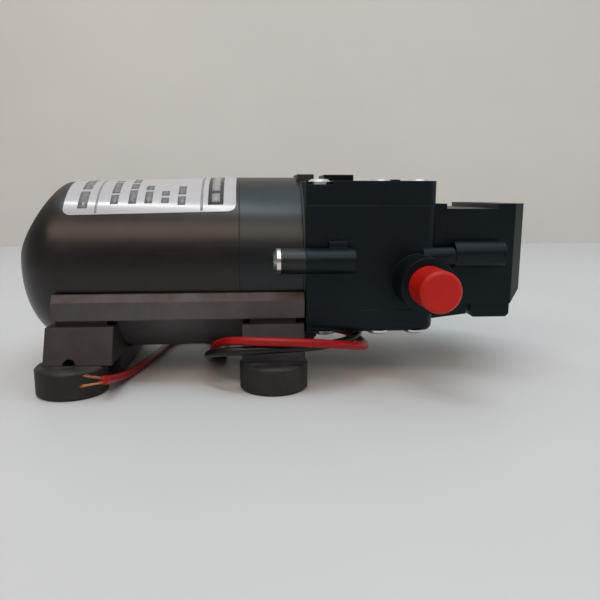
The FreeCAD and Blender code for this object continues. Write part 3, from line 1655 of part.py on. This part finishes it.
def build():
    motor_cover()
    front_ring()
    front_bell()
    motor_can()
    bearings()
    magnets()
    armature_core()
    windings()
    commutator()
    motor_shaft()
    brush_gear()
    eccentric()
    eccentric_bearing()
    con_rod()
    clamp_plates()
    diaphragms()
    valve_sets()
    top_cover()
    bottom_cover()
    crankcase()
    fasteners()
    port_parts()
    switch_base()
    switch_diaphragm()
    pressure_plunger()
    switch_spring()
    adjusting_screw()
    switch_body()
    switch_cap()
    switch_contacts()
    rail_cradle()
    foot_bracket("rear_foot_bracket", x_foot_rear, size("rear_bracket_behind"), size("rear_bracket_ahead"), True)
    foot_bracket("front_foot_bracket", x_foot_front, size("front_bracket_half"), size("front_bracket_half"), False)
    rubber_feet()
    label_strip()
    grommet()
    lead("red_lead", RED_ROUTE)
    lead("black_lead", BLACK_ROUTE)
    strands("red_lead_strands", RED_ROUTE, RED_STRANDS)
    strands("black_lead_strands", BLACK_ROUTE, BLACK_STRANDS)


def check_and_write():
    """Recomputes, refuses failed objects and empty or broken solids, and writes the files."""
    doc.recompute()
    for thing in doc.Objects:
        if "Invalid" in thing.State or "Error" in thing.State:
            raise RuntimeError("%s (%s) did not build: %s" % (thing.Name, thing.Label, thing.State))
    for part in parts:
        if part.Shape.isNull() or not part.Shape.isValid() or not part.Shape.Solids:
            raise RuntimeError("%s has no sound solid" % part.Label)
    os.makedirs("parts", exist_ok=True)
    for part in parts:
        part.Shape.exportStep("parts/%s.step" % part.Label)
    print("%d sub-parts, %d solids" % (len(parts), sum(len(part.Shape.Solids) for part in parts)))


build()
check_and_write()
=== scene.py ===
import json
import math
import random

import bmesh
import bpy
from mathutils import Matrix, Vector


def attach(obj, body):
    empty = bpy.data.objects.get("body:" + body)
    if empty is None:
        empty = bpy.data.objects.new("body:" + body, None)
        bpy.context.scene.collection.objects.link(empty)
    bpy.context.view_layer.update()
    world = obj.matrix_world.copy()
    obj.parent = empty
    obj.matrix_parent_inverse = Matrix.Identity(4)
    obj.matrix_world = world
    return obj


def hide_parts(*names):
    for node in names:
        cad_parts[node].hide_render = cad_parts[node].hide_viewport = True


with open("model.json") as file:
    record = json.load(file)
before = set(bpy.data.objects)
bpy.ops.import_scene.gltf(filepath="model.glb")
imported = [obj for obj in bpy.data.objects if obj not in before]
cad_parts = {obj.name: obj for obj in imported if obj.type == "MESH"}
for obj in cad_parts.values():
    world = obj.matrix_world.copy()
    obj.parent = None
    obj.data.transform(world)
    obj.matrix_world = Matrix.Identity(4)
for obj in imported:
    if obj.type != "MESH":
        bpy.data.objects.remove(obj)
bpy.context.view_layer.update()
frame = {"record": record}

MM = 0.001

# Camera

FOCAL_PIXELS = 586.14
IMAGE_PIXELS = 600
SENSOR_WIDTH = 36.0
CAMERA_PLACE = (-5.8, -197.1, 55.64)
CAMERA_PITCH = 79.82
CAMERA_TURN = -4.33

camera_data = bpy.data.cameras.new("camera")
camera_data.sensor_width = SENSOR_WIDTH
camera_data.lens = SENSOR_WIDTH * FOCAL_PIXELS / IMAGE_PIXELS
camera_data.clip_start = 0.01
camera_data.clip_end = 20.0
camera = bpy.data.objects.new("camera", camera_data)
camera.location = [value * MM for value in CAMERA_PLACE]
camera.rotation_euler = (math.radians(CAMERA_PITCH), 0.0, math.radians(CAMERA_TURN))
bpy.context.scene.collection.objects.link(camera)
bpy.context.scene.camera = camera
bpy.context.scene.view_settings.view_transform = "Standard"

# Materials


def new_material(name):
    material = bpy.data.materials.new(name)
    material.use_nodes = True
    tree = material.node_tree
    tree.nodes.clear()
    output = tree.nodes.new("ShaderNodeOutputMaterial")
    shader = tree.nodes.new("ShaderNodeBsdfPrincipled")
    tree.links.new(shader.outputs["BSDF"], output.inputs["Surface"])
    return material, tree, shader


def add(tree, kind, **settings):
    node = tree.nodes.new(kind)
    for key, value in settings.items():
        setattr(node, key, value)
    return node


def math_node(tree, operation, first, second=None, clamp=False):
    node = add(tree, "ShaderNodeMath", operation=operation, use_clamp=clamp)
    for index, value in enumerate((first, second)):
        if value is None:
            continue
        if isinstance(value, (int, float)):
            node.inputs[index].default_value = value
        else:
            tree.links.new(value, node.inputs[index])
    return node.outputs[0]


def mix_colour(tree, factor, first, second):
    node = add(tree, "ShaderNodeMix", data_type="RGBA")
    if isinstance(factor, (int, float)):
        node.inputs[0].default_value = factor
    else:
        tree.links.new(factor, node.inputs[0])
    for index, value in ((6, first), (7, second)):
        if isinstance(value, tuple):
            node.inputs[index].default_value = (*value, 1.0)
        else:
            tree.links.new(value, node.inputs[index])
    return node.outputs[2]


def noise(tree, place, per_mm, detail=4.0, rough=0.55, stretch=None):
    """A noise with its scale in cycles per millimetre."""
    source = place
    if stretch:
        mapping = add(tree, "ShaderNodeMapping")
        mapping.inputs["Scale"].default_value = stretch
        tree.links.new(place, mapping.inputs["Vector"])
        source = mapping.outputs["Vector"]
    node = add(tree, "ShaderNodeTexNoise")
    node.inputs["Scale"].default_value = per_mm / MM
    node.inputs["Detail"].default_value = detail
    node.inputs["Roughness"].default_value = rough
    tree.links.new(source, node.inputs["Vector"])
    return node.outputs["Fac"]


def ramp(tree, value, low, high):
    node = add(tree, "ShaderNodeMapRange")
    node.inputs["From Min"].default_value = low
    node.inputs["From Max"].default_value = high
    tree.links.new(value, node.inputs["Value"])
    return node.outputs["Result"]


def scaled(colour, gain):
    return tuple(min(1.0, channel * gain) for channel in colour)


# What all surfaces share: ranges of the noises, their scales in cycles per millimetre, and shares
TONE_RANGE = (0.3, 0.7)
SPECK_RANGE = (0.55, 0.85)
SPECK_SHARE = 0.8
SPECK_GAIN = 2.2
EDGE_GAIN = 5.0
EDGE_PATCH_PER_MM = 0.35
EDGE_PATCH_RANGE = (0.42, 0.66)
WORN_GAIN = 3.5
ROUGH_SWING = 0.16
UPWARD_RANGE = (0.1, 1.0)
DUST_AND_TOP_SHADE_PER_MM = 0.12
DUST_AND_TOP_SHADE_RANGE = (0.4, 0.75)
DUST_AND_TOP_SHADE_ON_SIDES = 0.25
DUST_AND_TOP_SHADE_ROUGHNESS = 0.3
SCRATCH_PER_MM = 0.9
SCRATCH_STRETCH = (0.05, 1.0, 1.0)
SCRATCH_RANGE = (0.66, 0.72)
BUMP_DEPTH = 0.1

finishes = {}


def surface(name, colour, rough, metal=0.0, tone=0.25, tone_per_mm=0.05, grain=0.12, grain_per_mm=2.5,
            edge_wear_and_highlight=0.25, edge_wear_and_highlight_colour=None, edge_mm=0.35, dust_and_top_shade=0.0, dust_and_top_shade_colour=(0.45, 0.42, 0.38),
            stretch=None, scratch=0.0, specular=0.5, painted_reflection_tint=(1.0, 1.0, 1.0)):
    """Moulded or machined surface: broad tone, fine grain, worn edges, dust and light scratches. On the
    rail the worn-edge colour is a painted highlight and the dust layer is painted shade on its upward
    faces; the specular tint is a painted reflection colour.
    """
    material, tree, shader = new_material(name)
    link = tree.links.new
    place = add(tree, "ShaderNodeTexCoord").outputs["Object"]
    geometry = add(tree, "ShaderNodeNewGeometry")

    broad = noise(tree, place, tone_per_mm, 5.0, 0.6, stretch)
    fine = noise(tree, place, grain_per_mm, 3.0, 0.6, stretch)
    darker, lighter = scaled(colour, 1.0 - tone), scaled(colour, 1.0 + tone)
    tinted = mix_colour(tree, ramp(tree, broad, *TONE_RANGE), darker, lighter)
    speck = math_node(tree, "MULTIPLY", ramp(tree, fine, *SPECK_RANGE), tone * SPECK_SHARE)
    tinted = mix_colour(tree, speck, tinted, scaled(colour, SPECK_GAIN))

    rounded = None
    # Worn edges: real wear on most finishes, a golden painted highlight on the rail.
    if edge_mm > 0.0:
        bevel = add(tree, "ShaderNodeBevel", samples=4)
        bevel.inputs["Radius"].default_value = edge_mm * MM
        rounded = bevel.outputs["Normal"]
        facing = add(tree, "ShaderNodeVectorMath", operation="DOT_PRODUCT")
        link(rounded, facing.inputs[0])
        link(geometry.outputs["Normal"], facing.inputs[1])
        edge = math_node(tree, "SUBTRACT", 1.0, facing.outputs["Value"], clamp=True)
        edge = math_node(tree, "MULTIPLY", edge, EDGE_GAIN, clamp=True)
        patchy = ramp(tree, noise(tree, place, EDGE_PATCH_PER_MM, 4.0, 0.7), *EDGE_PATCH_RANGE)
        edge = math_node(tree, "MULTIPLY", edge, patchy)
        edge = math_node(tree, "MULTIPLY", edge, edge_wear_and_highlight)
        tinted = mix_colour(tree, edge, tinted, edge_wear_and_highlight_colour or scaled(colour, WORN_GAIN))

    swing = math_node(tree, "MULTIPLY", broad, ROUGH_SWING)
    roughness = math_node(tree, "ADD", swing, rough - ROUGH_SWING / 2)
    # Dust layer, strongest on upward faces: real dust on most finishes, dark brown painted shade on the
    # rail.
    if dust_and_top_shade > 0.0:
        split = add(tree, "ShaderNodeSeparateXYZ")
        link(geometry.outputs["Normal"], split.inputs["Vector"])
        upward = ramp(tree, split.outputs["Z"], *UPWARD_RANGE)
        cloud = ramp(tree, noise(tree, place, DUST_AND_TOP_SHADE_PER_MM, 6.0, 0.7), *DUST_AND_TOP_SHADE_RANGE)
        layer = math_node(tree, "MULTIPLY", math_node(tree, "ADD", upward, DUST_AND_TOP_SHADE_ON_SIDES), cloud)
        layer = math_node(tree, "MULTIPLY", layer, dust_and_top_shade, clamp=True)
        tinted = mix_colour(tree, layer, tinted, dust_and_top_shade_colour)
        dulled = math_node(tree, "MULTIPLY", layer, DUST_AND_TOP_SHADE_ROUGHNESS)
        roughness = math_node(tree, "ADD", roughness, dulled, clamp=True)
    if scratch > 0.0:
        lines = noise(tree, place, SCRATCH_PER_MM, 2.0, 0.5, SCRATCH_STRETCH)
        scored = math_node(tree, "MULTIPLY", ramp(tree, lines, *SCRATCH_RANGE), scratch)
        roughness = math_node(tree, "ADD", roughness, scored, clamp=True)
    link(tinted, shader.inputs["Base Color"])
    link(roughness, shader.inputs["Roughness"])
    shader.inputs["Metallic"].default_value = metal
    shader.inputs["Specular IOR Level"].default_value = specular
    # The specular tint is a painted reflection colour: bluish on the ring and head, faintly warm on the
    # motor cover.
    shader.inputs["Specular Tint"].default_value = (*painted_reflection_tint, 1.0)

    bump = add(tree, "ShaderNodeBump")
    bump.inputs["Strength"].default_value = grain
    bump.inputs["Distance"].default_value = BUMP_DEPTH * MM
    link(fine, bump.inputs["Height"])
    if rounded:
        link(rounded, bump.inputs["Normal"])
    link(bump.outputs["Normal"], shader.inputs["Normal"])
    finishes[name] = material
    return material


# The finishes: base colour and roughness first
# motor_shell: faint warm painted reflection tint.
surface("motor_shell", (0.0065, 0.0052, 0.0052), 0.32, tone=0.35, tone_per_mm=0.03, grain=0.1, edge_wear_and_highlight=0.2,
        dust_and_top_shade=0.035, dust_and_top_shade_colour=(0.4, 0.32, 0.27), scratch=0.12, edge_mm=0.5, specular=0.46,
        painted_reflection_tint=(1.0, 0.98, 0.97))
# ring_plastic: bluish painted reflection tint on the front ring.
surface("ring_plastic", (0.0045, 0.0048, 0.0052), 0.34, tone=0.35, tone_per_mm=0.03, grain=0.1, edge_wear_and_highlight=0.2,
        dust_and_top_shade=0.02, scratch=0.12, edge_mm=0.5, specular=0.52, painted_reflection_tint=(0.86, 0.94, 0.98))
# head_plastic: bluish painted reflection tint.
surface("head_plastic", (0.0016, 0.003, 0.0046), 0.38, tone=0.3, grain=0.14, edge_wear_and_highlight=0.16,
        edge_wear_and_highlight_colour=(0.05, 0.055, 0.06), dust_and_top_shade=0.02, edge_mm=0.45, scratch=0.1, specular=0.3,
        painted_reflection_tint=(0.66, 0.88, 1.0))
# Rail: the golden worn-edge colour is a painted highlight along its edges, and the full-strength dark brown
# dust layer is painted shade on its upward faces.
surface("rail_plastic", (0.084, 0.075, 0.081), 0.44, tone=0.3, grain=0.16, edge_wear_and_highlight=0.6,
        edge_wear_and_highlight_colour=(0.26, 0.18, 0.08), dust_and_top_shade=1.0, dust_and_top_shade_colour=(0.045, 0.032, 0.018), edge_mm=0.5,
        scratch=0.1, specular=0.3)
surface("bracket_plastic", (0.036, 0.031, 0.034), 0.5, tone=0.3, grain=0.16, edge_wear_and_highlight=0.3,
        edge_wear_and_highlight_colour=(0.12, 0.11, 0.1), dust_and_top_shade=0.06, edge_mm=0.45, specular=0.3)
surface("foot_rubber", (0.016, 0.016, 0.016), 0.62, tone=0.3, grain=0.22, edge_wear_and_highlight=0.3,
        edge_wear_and_highlight_colour=(0.08, 0.08, 0.08), dust_and_top_shade=0.12, edge_mm=0.6, specular=0.35)
surface("soft_rubber", (0.012, 0.012, 0.012), 0.55, tone=0.2, grain=0.15, edge_wear_and_highlight=0.1)
surface("steel", (0.42, 0.42, 0.43), 0.32, metal=1.0, tone=0.15, grain=0.06, stretch=(0.2, 1.0, 1.0),
        edge_wear_and_highlight=0.2, scratch=0.2)
surface("bell_metal", (0.045, 0.045, 0.047), 0.46, metal=0.6, tone=0.25, grain=0.12, edge_wear_and_highlight=0.3,
        edge_wear_and_highlight_colour=(0.3, 0.3, 0.3), dust_and_top_shade=0.08)
surface("screw_steel", (0.72, 0.71, 0.69), 0.22, metal=1.0, tone=0.15, grain=0.05, edge_wear_and_highlight=0.4,
        edge_wear_and_highlight_colour=(0.9, 0.9, 0.88), edge_mm=0.15, scratch=0.25)
surface("bearing_steel", (0.55, 0.55, 0.56), 0.2, metal=1.0, tone=0.08, grain=0.03, edge_wear_and_highlight=0.2)
surface("magnet", (0.06, 0.06, 0.062), 0.55, tone=0.3, grain=0.3, edge_wear_and_highlight=0.5)
surface("laminations", (0.25, 0.24, 0.24), 0.4, metal=1.0, tone=0.2, grain=0.3, stretch=(6.0, 0.4, 0.4),
        edge_wear_and_highlight=0.3)
surface("copper", (0.46, 0.19, 0.085), 0.36, metal=1.0, tone=0.3, tone_per_mm=0.5, grain=0.1, edge_wear_and_highlight=0.3,
        edge_wear_and_highlight_colour=(0.7, 0.36, 0.2), edge_mm=0.1)
surface("card", (0.33, 0.17, 0.06), 0.5, tone=0.25, grain=0.12, edge_wear_and_highlight=0.3)
surface("carbon", (0.025, 0.025, 0.027), 0.4, tone=0.3, grain=0.12, edge_wear_and_highlight=0.3)
surface("spring_steel", (0.45, 0.45, 0.46), 0.25, metal=1.0, tone=0.1, grain=0.05, edge_wear_and_highlight=0.2)
surface("red_plastic", (0.52, 0.011, 0.005), 0.42, tone=0.14, grain=0.08, edge_wear_and_highlight=0.3,
        edge_wear_and_highlight_colour=(0.68, 0.1, 0.07), edge_mm=0.7, scratch=0.12, specular=0.28)
surface("natural_nylon", (0.7, 0.66, 0.56), 0.42, tone=0.08, grain=0.08, edge_wear_and_highlight=0.2,
        edge_wear_and_highlight_colour=(0.85, 0.82, 0.75))
surface("red_insulation", (0.33, 0.004, 0.005), 0.38, tone=0.18, tone_per_mm=0.2, grain=0.06, edge_wear_and_highlight=0.1,
        edge_wear_and_highlight_colour=(0.6, 0.1, 0.08), specular=0.3)
surface("black_insulation", (0.005, 0.005, 0.0055), 0.36, tone=0.2, tone_per_mm=0.2, grain=0.06, edge_wear_and_highlight=0.1,
        specular=0.35)
surface("label_film", (0.52, 0.52, 0.55), 0.17, tone=0.05, grain=0.3, grain_per_mm=0.16, edge_wear_and_highlight=0.2,
        edge_wear_and_highlight_colour=(0.5, 0.48, 0.45), edge_mm=0.1, dust_and_top_shade=0.04, specular=0.7)
surface("print_ink", (0.05, 0.05, 0.055), 0.2, tone=0.3, tone_per_mm=0.6, grain=0.04, edge_mm=0.0)
surface("grey_ink", (0.2, 0.2, 0.21), 0.2, tone=0.3, tone_per_mm=0.8, grain=0.04, edge_mm=0.0)
surface("rule_ink", (0.3, 0.3, 0.31), 0.2, tone=0.2, tone_per_mm=0.5, grain=0.04, edge_mm=0.0)
surface("pale_ink", (0.36, 0.36, 0.38), 0.2, tone=0.2, tone_per_mm=0.8, grain=0.04, edge_mm=0.0)

OWN_FINISH = {
    # The front ring's own finish carries a bluish painted reflection tint.
    "front_ring": "ring_plastic",
    "rear_foot_bracket": "bracket_plastic",
    "front_foot_bracket": "bracket_plastic",
}

for entry in frame["record"]["subparts"]:
    node = bpy.data.objects.get(entry["node"])
    finish = finishes[OWN_FINISH.get(entry["node"], entry["material_slot"])]
    if not node.data.materials:
        node.data.materials.append(finish)
    for index in range(len(node.data.materials)):
        node.data.materials[index] = finish

# Free leads

RED_ROUTE = [
    (14.5, -2.0, 10.6),
    (21.9, -2.0, 10.6),
    (27.4, -7.8, 9.0),
    (28.6, -17.8, 8.8),
    (26.4, -27.5, 10.7),
    (19.8, -35.4, 13.2),
    (8.8, -39.0, 15.0),
    (-3.2, -39.3, 15.6),
    (-12.6, -35.8, 15.2),
    (-17.8, -27.5, 12.4),
    (-19.6, -16.5, 7.4),
    (-20.6, -5.0, 3.0),
    (-21.0, 7.5, 1.3),
    (-20.9, 18.8, 1.3),
    (-24.1, 23.6, 1.3),
    (-29.5, 25.4, 1.3),
    (-34.9, 23.6, 1.3),
    (-38.1, 19.0, 1.3),
    (-39.3, 10.0, 1.3),
    (-41.0, 0.0, 1.3),
    (-42.9, -10.0, 1.3),
    (-45.1, -20.5, 1.7),
    (-46.6, -31.0, 3.4),
    (-47.4, -40.5, 6.0),
]
BLACK_ROUTE = [
    (14.5, 2.0, 10.6),
    (20.6, 2.0, 10.6),
    (26.0, -2.2, 12.0),
    (27.3, -11.0, 12.9),
    (26.0, -20.4, 12.9),
    (21.4, -28.4, 12.8),
    (13.6, -34.6, 12.9),
    (3.4, -37.4, 13.1),
    (-6.6, -38.0, 12.9),
    (-16.0, -35.6, 11.9),
    (-20.9, -28.0, 9.3),
    (-19.0, -16.8, 4.0),
    (-17.4, -5.0, 1.6),
    (-17.6, 6.0, 1.3),
    (-17.7, 17.0, 1.3),
    (-17.6, 28.0, 1.3),
    (-15.8, 37.5, 1.3),
    (-10.0, 44.0, 1.3),
    (-1.5, 46.9, 1.3),
    (6.5, 46.5, 1.3),
]
LEAD_RADIUS = 1.25


def lead(name, route, finish):
    """A round lead along its route."""
    data = bpy.data.curves.new(name, "CURVE")
    data.dimensions = "3D"
    spline = data.splines.new("NURBS")
    spline.points.add(len(route) - 1)
    for point, place in zip(spline.points, route):
        point.co = (place[0] * MM, place[1] * MM, place[2] * MM, 1.0)
    spline.order_u = 3
    spline.use_endpoint_u = True
    spline.resolution_u = 12
    data.bevel_depth = LEAD_RADIUS * MM
    data.bevel_resolution = 6
    data.use_fill_caps = True
    data.materials.append(finishes[finish])
    curve = bpy.data.objects.new(name, data)
    bpy.context.scene.collection.objects.link(curve)
    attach(curve, "pump")
    return curve


def mesh_object(name, vertices, faces, finish):
    """A smooth mesh in one finish that rides on the pump, from points in millimetres."""
    data = bpy.data.meshes.new(name)
    data.from_pydata([tuple(value * MM for value in vertex) for vertex in vertices], [], faces)
    data.materials.append(finishes[finish])
    data.update()
    work = bmesh.new()
    work.from_mesh(data)
    bmesh.ops.recalc_face_normals(work, faces=work.faces)
    work.to_mesh(data)
    work.free()
    for polygon in data.polygons:
        polygon.use_smooth = True
    thing = bpy.data.objects.new(name, data)
    bpy.context.scene.collection.objects.link(thing)
    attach(thing, "pump")
    return thing


def frame_across(direction):
    """Two unit vectors square to a direction."""
    helper = Vector((0, 0, 1)) if abs(direction.z) < 0.9 else Vector((1, 0, 0))
    first = direction.cross(helper).normalized()
    return first, direction.cross(first).normalized()


def tube(vertices, faces, path, radius, sides):
    """Adds a closed round tube along a path of points to a mesh under way."""
    base = len(vertices)
    count = len(path)
    for index, point in enumerate(path):
        before = path[max(index - 1, 0)]
        after = path[min(index + 1, count - 1)]
        first, second = frame_across((after - before).normalized())
        for side in range(sides):
            angle = 2 * math.pi * side / sides
            vertices.append(point + (first * math.cos(angle) + second * math.sin(angle)) * radius)
    for index in range(count - 1):
        for side in range(sides):
            a = base + index * sides + side
            b = base + index * sides + (side + 1) % sides
            faces.append((a, b, b + sides, a + sides))
    faces.append(tuple(range(base + sides - 1, base - 1, -1)))
    top = base + (count - 1) * sides
    faces.append(tuple(range(top, top + sides)))


WIRES_IN_BUNDLE = 11
WIRE_RADIUS = 0.1
WIRE_SIDES = 6
WIRE_STEPS = 14
BUNDLE_RADIUS = 0.34
BUNDLE_OFFSET = 0.5175
ROOT_DEPTH = 0.4
STRAIGHT_RUN = 1.6


def strands(name, route, bundles, seed):
    """Bare copper wires in two loosely twisted bundles at a lead's end."""
    draw = random.Random(seed)
    tip = Vector(route[-1])
    along = (tip - Vector(route[-2])).normalized()
    across = along.cross(Vector((0, 0, 1))).normalized()
    up = across.cross(along)
    vertices, faces = [], []
    for number, reach in enumerate(bundles):
        root = tip + up * (BUNDLE_OFFSET if number == 0 else -BUNDLE_OFFSET) - along * ROOT_DEPTH
        end = root + along * STRAIGHT_RUN + Vector(reach)
        for wire in range(WIRES_IN_BUNDLE):
            angle = 2 * math.pi * wire / WIRES_IN_BUNDLE + draw.uniform(-0.3, 0.3)
            ring = BUNDLE_RADIUS * (0.35 if wire % 3 == 0 else 0.95)
            turns = draw.uniform(0.5, 0.8)
            reach_share = draw.uniform(0.86, 1.0)
            stray = draw.uniform(-0.35, 0.35)
            path = []
            for step in range(WIRE_STEPS + 1):
                share = step / WIRE_STEPS * reach_share
                centre = root.lerp(end, share) + along * (STRAIGHT_RUN * share * (1 - share))
                twist = angle + 2 * math.pi * turns * share
                spread = ring * (1.0 - 0.45 * share) + stray * share ** 3
                centre = centre + (across * math.cos(twist) + up * math.sin(twist)) * spread
                path.append(centre)
            tube(vertices, faces, path, WIRE_RADIUS, WIRE_SIDES)
    return mesh_object(name, vertices, faces, "copper")


red_lead = lead("red_wire", RED_ROUTE, "red_insulation")
black_lead = lead("black_wire", BLACK_ROUTE, "black_insulation")
red_strands = strands("red_wire_strands", RED_ROUTE, [(-4.7, -1.2, 1.3), (-5.7, -0.6, -0.7)], 3)
black_strands = strands("black_wire_strands", BLACK_ROUTE, [(5.5, -1.4, 0.2), (6.2, 0.9, -0.3)], 4)
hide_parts("red_lead")
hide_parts("black_lead")
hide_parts("red_lead_strands")
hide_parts("black_lead_strands")

# Printing on the label: plain bars and rules

AXIS_Z = 34.25
COVER_FRONT = -10.5
COVER_RADIUS = 26.95
LABEL_THICKNESS = 0.13
PRINT_LIFT = 0.025
PRINT_THICKNESS = 0.05
BAR_STEP = 2.5
BAR_CORNERS = 4
DRAFT = math.radians(0.74)


def on_cover(x, degrees, lift):
    """A point on the motor cover's skin: x from its front edge, degrees up from the near side."""
    angle = math.radians(degrees)
    radius = COVER_RADIUS + x * math.tan(DRAFT) + lift
    rise = radius * math.sin(angle)
    return (
        COVER_FRONT + x * math.cos(DRAFT) - rise * math.sin(DRAFT),
        -radius * math.cos(angle),
        AXIS_Z + x * math.sin(DRAFT) + rise * math.cos(DRAFT),
    )


def wrapped_bar(vertices, faces, x_low, x_high, low, high, lift):
    """Adds a thin closed bar that follows the cover between two angles."""
    steps = max(2, int((high - low) / BAR_STEP))
    base = len(vertices)
    for step in range(steps + 1):
        degrees = low + (high - low) * step / steps
        under = lift - PRINT_THICKNESS
        for x, height in ((x_low, lift), (x_high, lift), (x_high, under), (x_low, under)):
            vertices.append(on_cover(x, degrees, height))
    for step in range(steps):
        ring = base + step * BAR_CORNERS
        beyond = ring + BAR_CORNERS
        for side in range(BAR_CORNERS):
            following = (side + 1) % BAR_CORNERS
            faces.append((ring + side, ring + following, beyond + following, beyond + side))
    faces.append((base, base + 1, base + 2, base + 3))
    last = base + steps * BAR_CORNERS
    faces.append((last + 3, last + 2, last + 1, last))


def printed(name, bars, finish, lift):
    """One piece of print: bars given as x from, x to, degrees from, degrees to."""
    vertices, faces = [], []
    for bar in bars:
        wrapped_bar(vertices, faces, *bar, LABEL_THICKNESS + lift)
    mesh_object(name, vertices, faces, finish)


LABEL_LOW, LABEL_HIGH = 39.0, 136.5
RULES = [(-41.9, -41.3, LABEL_LOW, LABEL_HIGH), (-11.2, -10.5, LABEL_LOW, LABEL_HIGH)]
BLOCK = [(-9.0, -4.4, 43.5, 129.0)]
BLOCK_BARS = [(-7.9, -5.5, 46.0, 54.0), (-7.9, -5.5, 57.0, 88.0)]
COLUMNS = {
    -36.6: ((46, 55), (57, 74), (76, 79), (98, 112), (114, 129)),
    -31.3: ((46, 60), (62, 70), (72, 84), (104, 129)),
    -26.6: ((46, 58), (60, 66), (108, 129)),
    -21.7: ((46, 51), (53, 58), (100, 113), (116, 129)),
    -16.8: ((44, 52), (54, 64), (106, 129)),
}
COLUMN_HALF = 1.15
TITLE_PLACE = -45.6
TITLE_HALF = 1.4
TITLE_SPANS = ((43, 60), (63, 88), (91, 128))
word_bars = []
for place, spans in COLUMNS.items():
    for low, high in spans:
        word_bars.append((place - COLUMN_HALF, place + COLUMN_HALF, low, high))
for low, high in TITLE_SPANS:
    word_bars.append((TITLE_PLACE - TITLE_HALF, TITLE_PLACE + TITLE_HALF, low, high))
printed("label_rules", RULES, "rule_ink", PRINT_LIFT)
printed("label_word_bars", word_bars, "grey_ink", PRINT_LIFT)
printed("label_block", BLOCK, "print_ink", PRINT_LIFT)
printed("label_block_bars", BLOCK_BARS, "pale_ink", PRINT_LIFT * 2)

# Floor, wall and light, in metres


def plane(name, corners, finish):
    data = bpy.data.meshes.new(name)
    data.from_pydata(corners, [], [(0, 1, 2, 3)])
    data.materials.append(finish)
    thing = bpy.data.objects.new(name, data)
    bpy.context.scene.collection.objects.link(thing)


WALL_PLACE = 0.463
WALL_HEIGHT = 1.6
FLOOR_FRONT = -1.5
HALF_ROOM = 2.5
table = surface("table_top", (0.645, 0.665, 0.675), 0.5, tone=0.03, tone_per_mm=0.004, grain=0.02, edge_wear_and_highlight=0.0)
wall = surface("wall_paint", (0.70, 0.69, 0.665), 0.7, tone=0.04, tone_per_mm=0.004, grain=0.05, edge_wear_and_highlight=0.0)
left_foot, right_foot = (-HALF_ROOM, WALL_PLACE, 0), (HALF_ROOM, WALL_PLACE, 0)
left_top, right_top = (-HALF_ROOM, WALL_PLACE, WALL_HEIGHT), (HALF_ROOM, WALL_PLACE, WALL_HEIGHT)
plane("table", [(-HALF_ROOM, FLOOR_FRONT, 0), (HALF_ROOM, FLOOR_FRONT, 0), right_foot, left_foot], table)
plane("wall", [left_foot, right_foot, right_top, left_top], wall)


def area_light(name, place, target, size, power, colour):
    """A soft rectangular light that faces its target."""
    data = bpy.data.lights.new(name, "AREA")
    data.shape = "RECTANGLE"
    data.size, data.size_y = size
    data.energy = power
    data.color = colour
    thing = bpy.data.objects.new(name, data)
    thing.location = place
    thing.rotation_euler = (Vector(target) - Vector(place)).to_track_quat("-Z", "Y").to_euler()
    bpy.context.scene.collection.objects.link(thing)


area_light("ceiling", (0.1, 0.2, 1.3), (0, 0.1, 0), (2.2, 1.3), 10.4, (0.72, 0.89, 1.0))
area_light("ceiling_tube", (-0.15, -0.15, 1.15), (-0.02, 0, 0.03), (0.8, 0.035), 2.4, (0.95, 0.98, 1.0))
area_light("front_fill", (-0.3, -0.90, 1.05), (0, 0, 0.03), (1.8, 0.5), 8.5, (1.0, 0.77, 0.61))
area_light("side_fill", (1.1, -0.25, 0.45), (0, 0, 0.02), (0.6, 0.4), 1.6, (1.0, 0.93, 0.86))

world = bpy.data.worlds.new("studio")
world.use_nodes = True
background = world.node_tree.nodes["Background"]
background.inputs["Color"].default_value = (0.86, 0.88, 0.92, 1.0)
background.inputs["Strength"].default_value = 0.22
bpy.context.scene.world = world
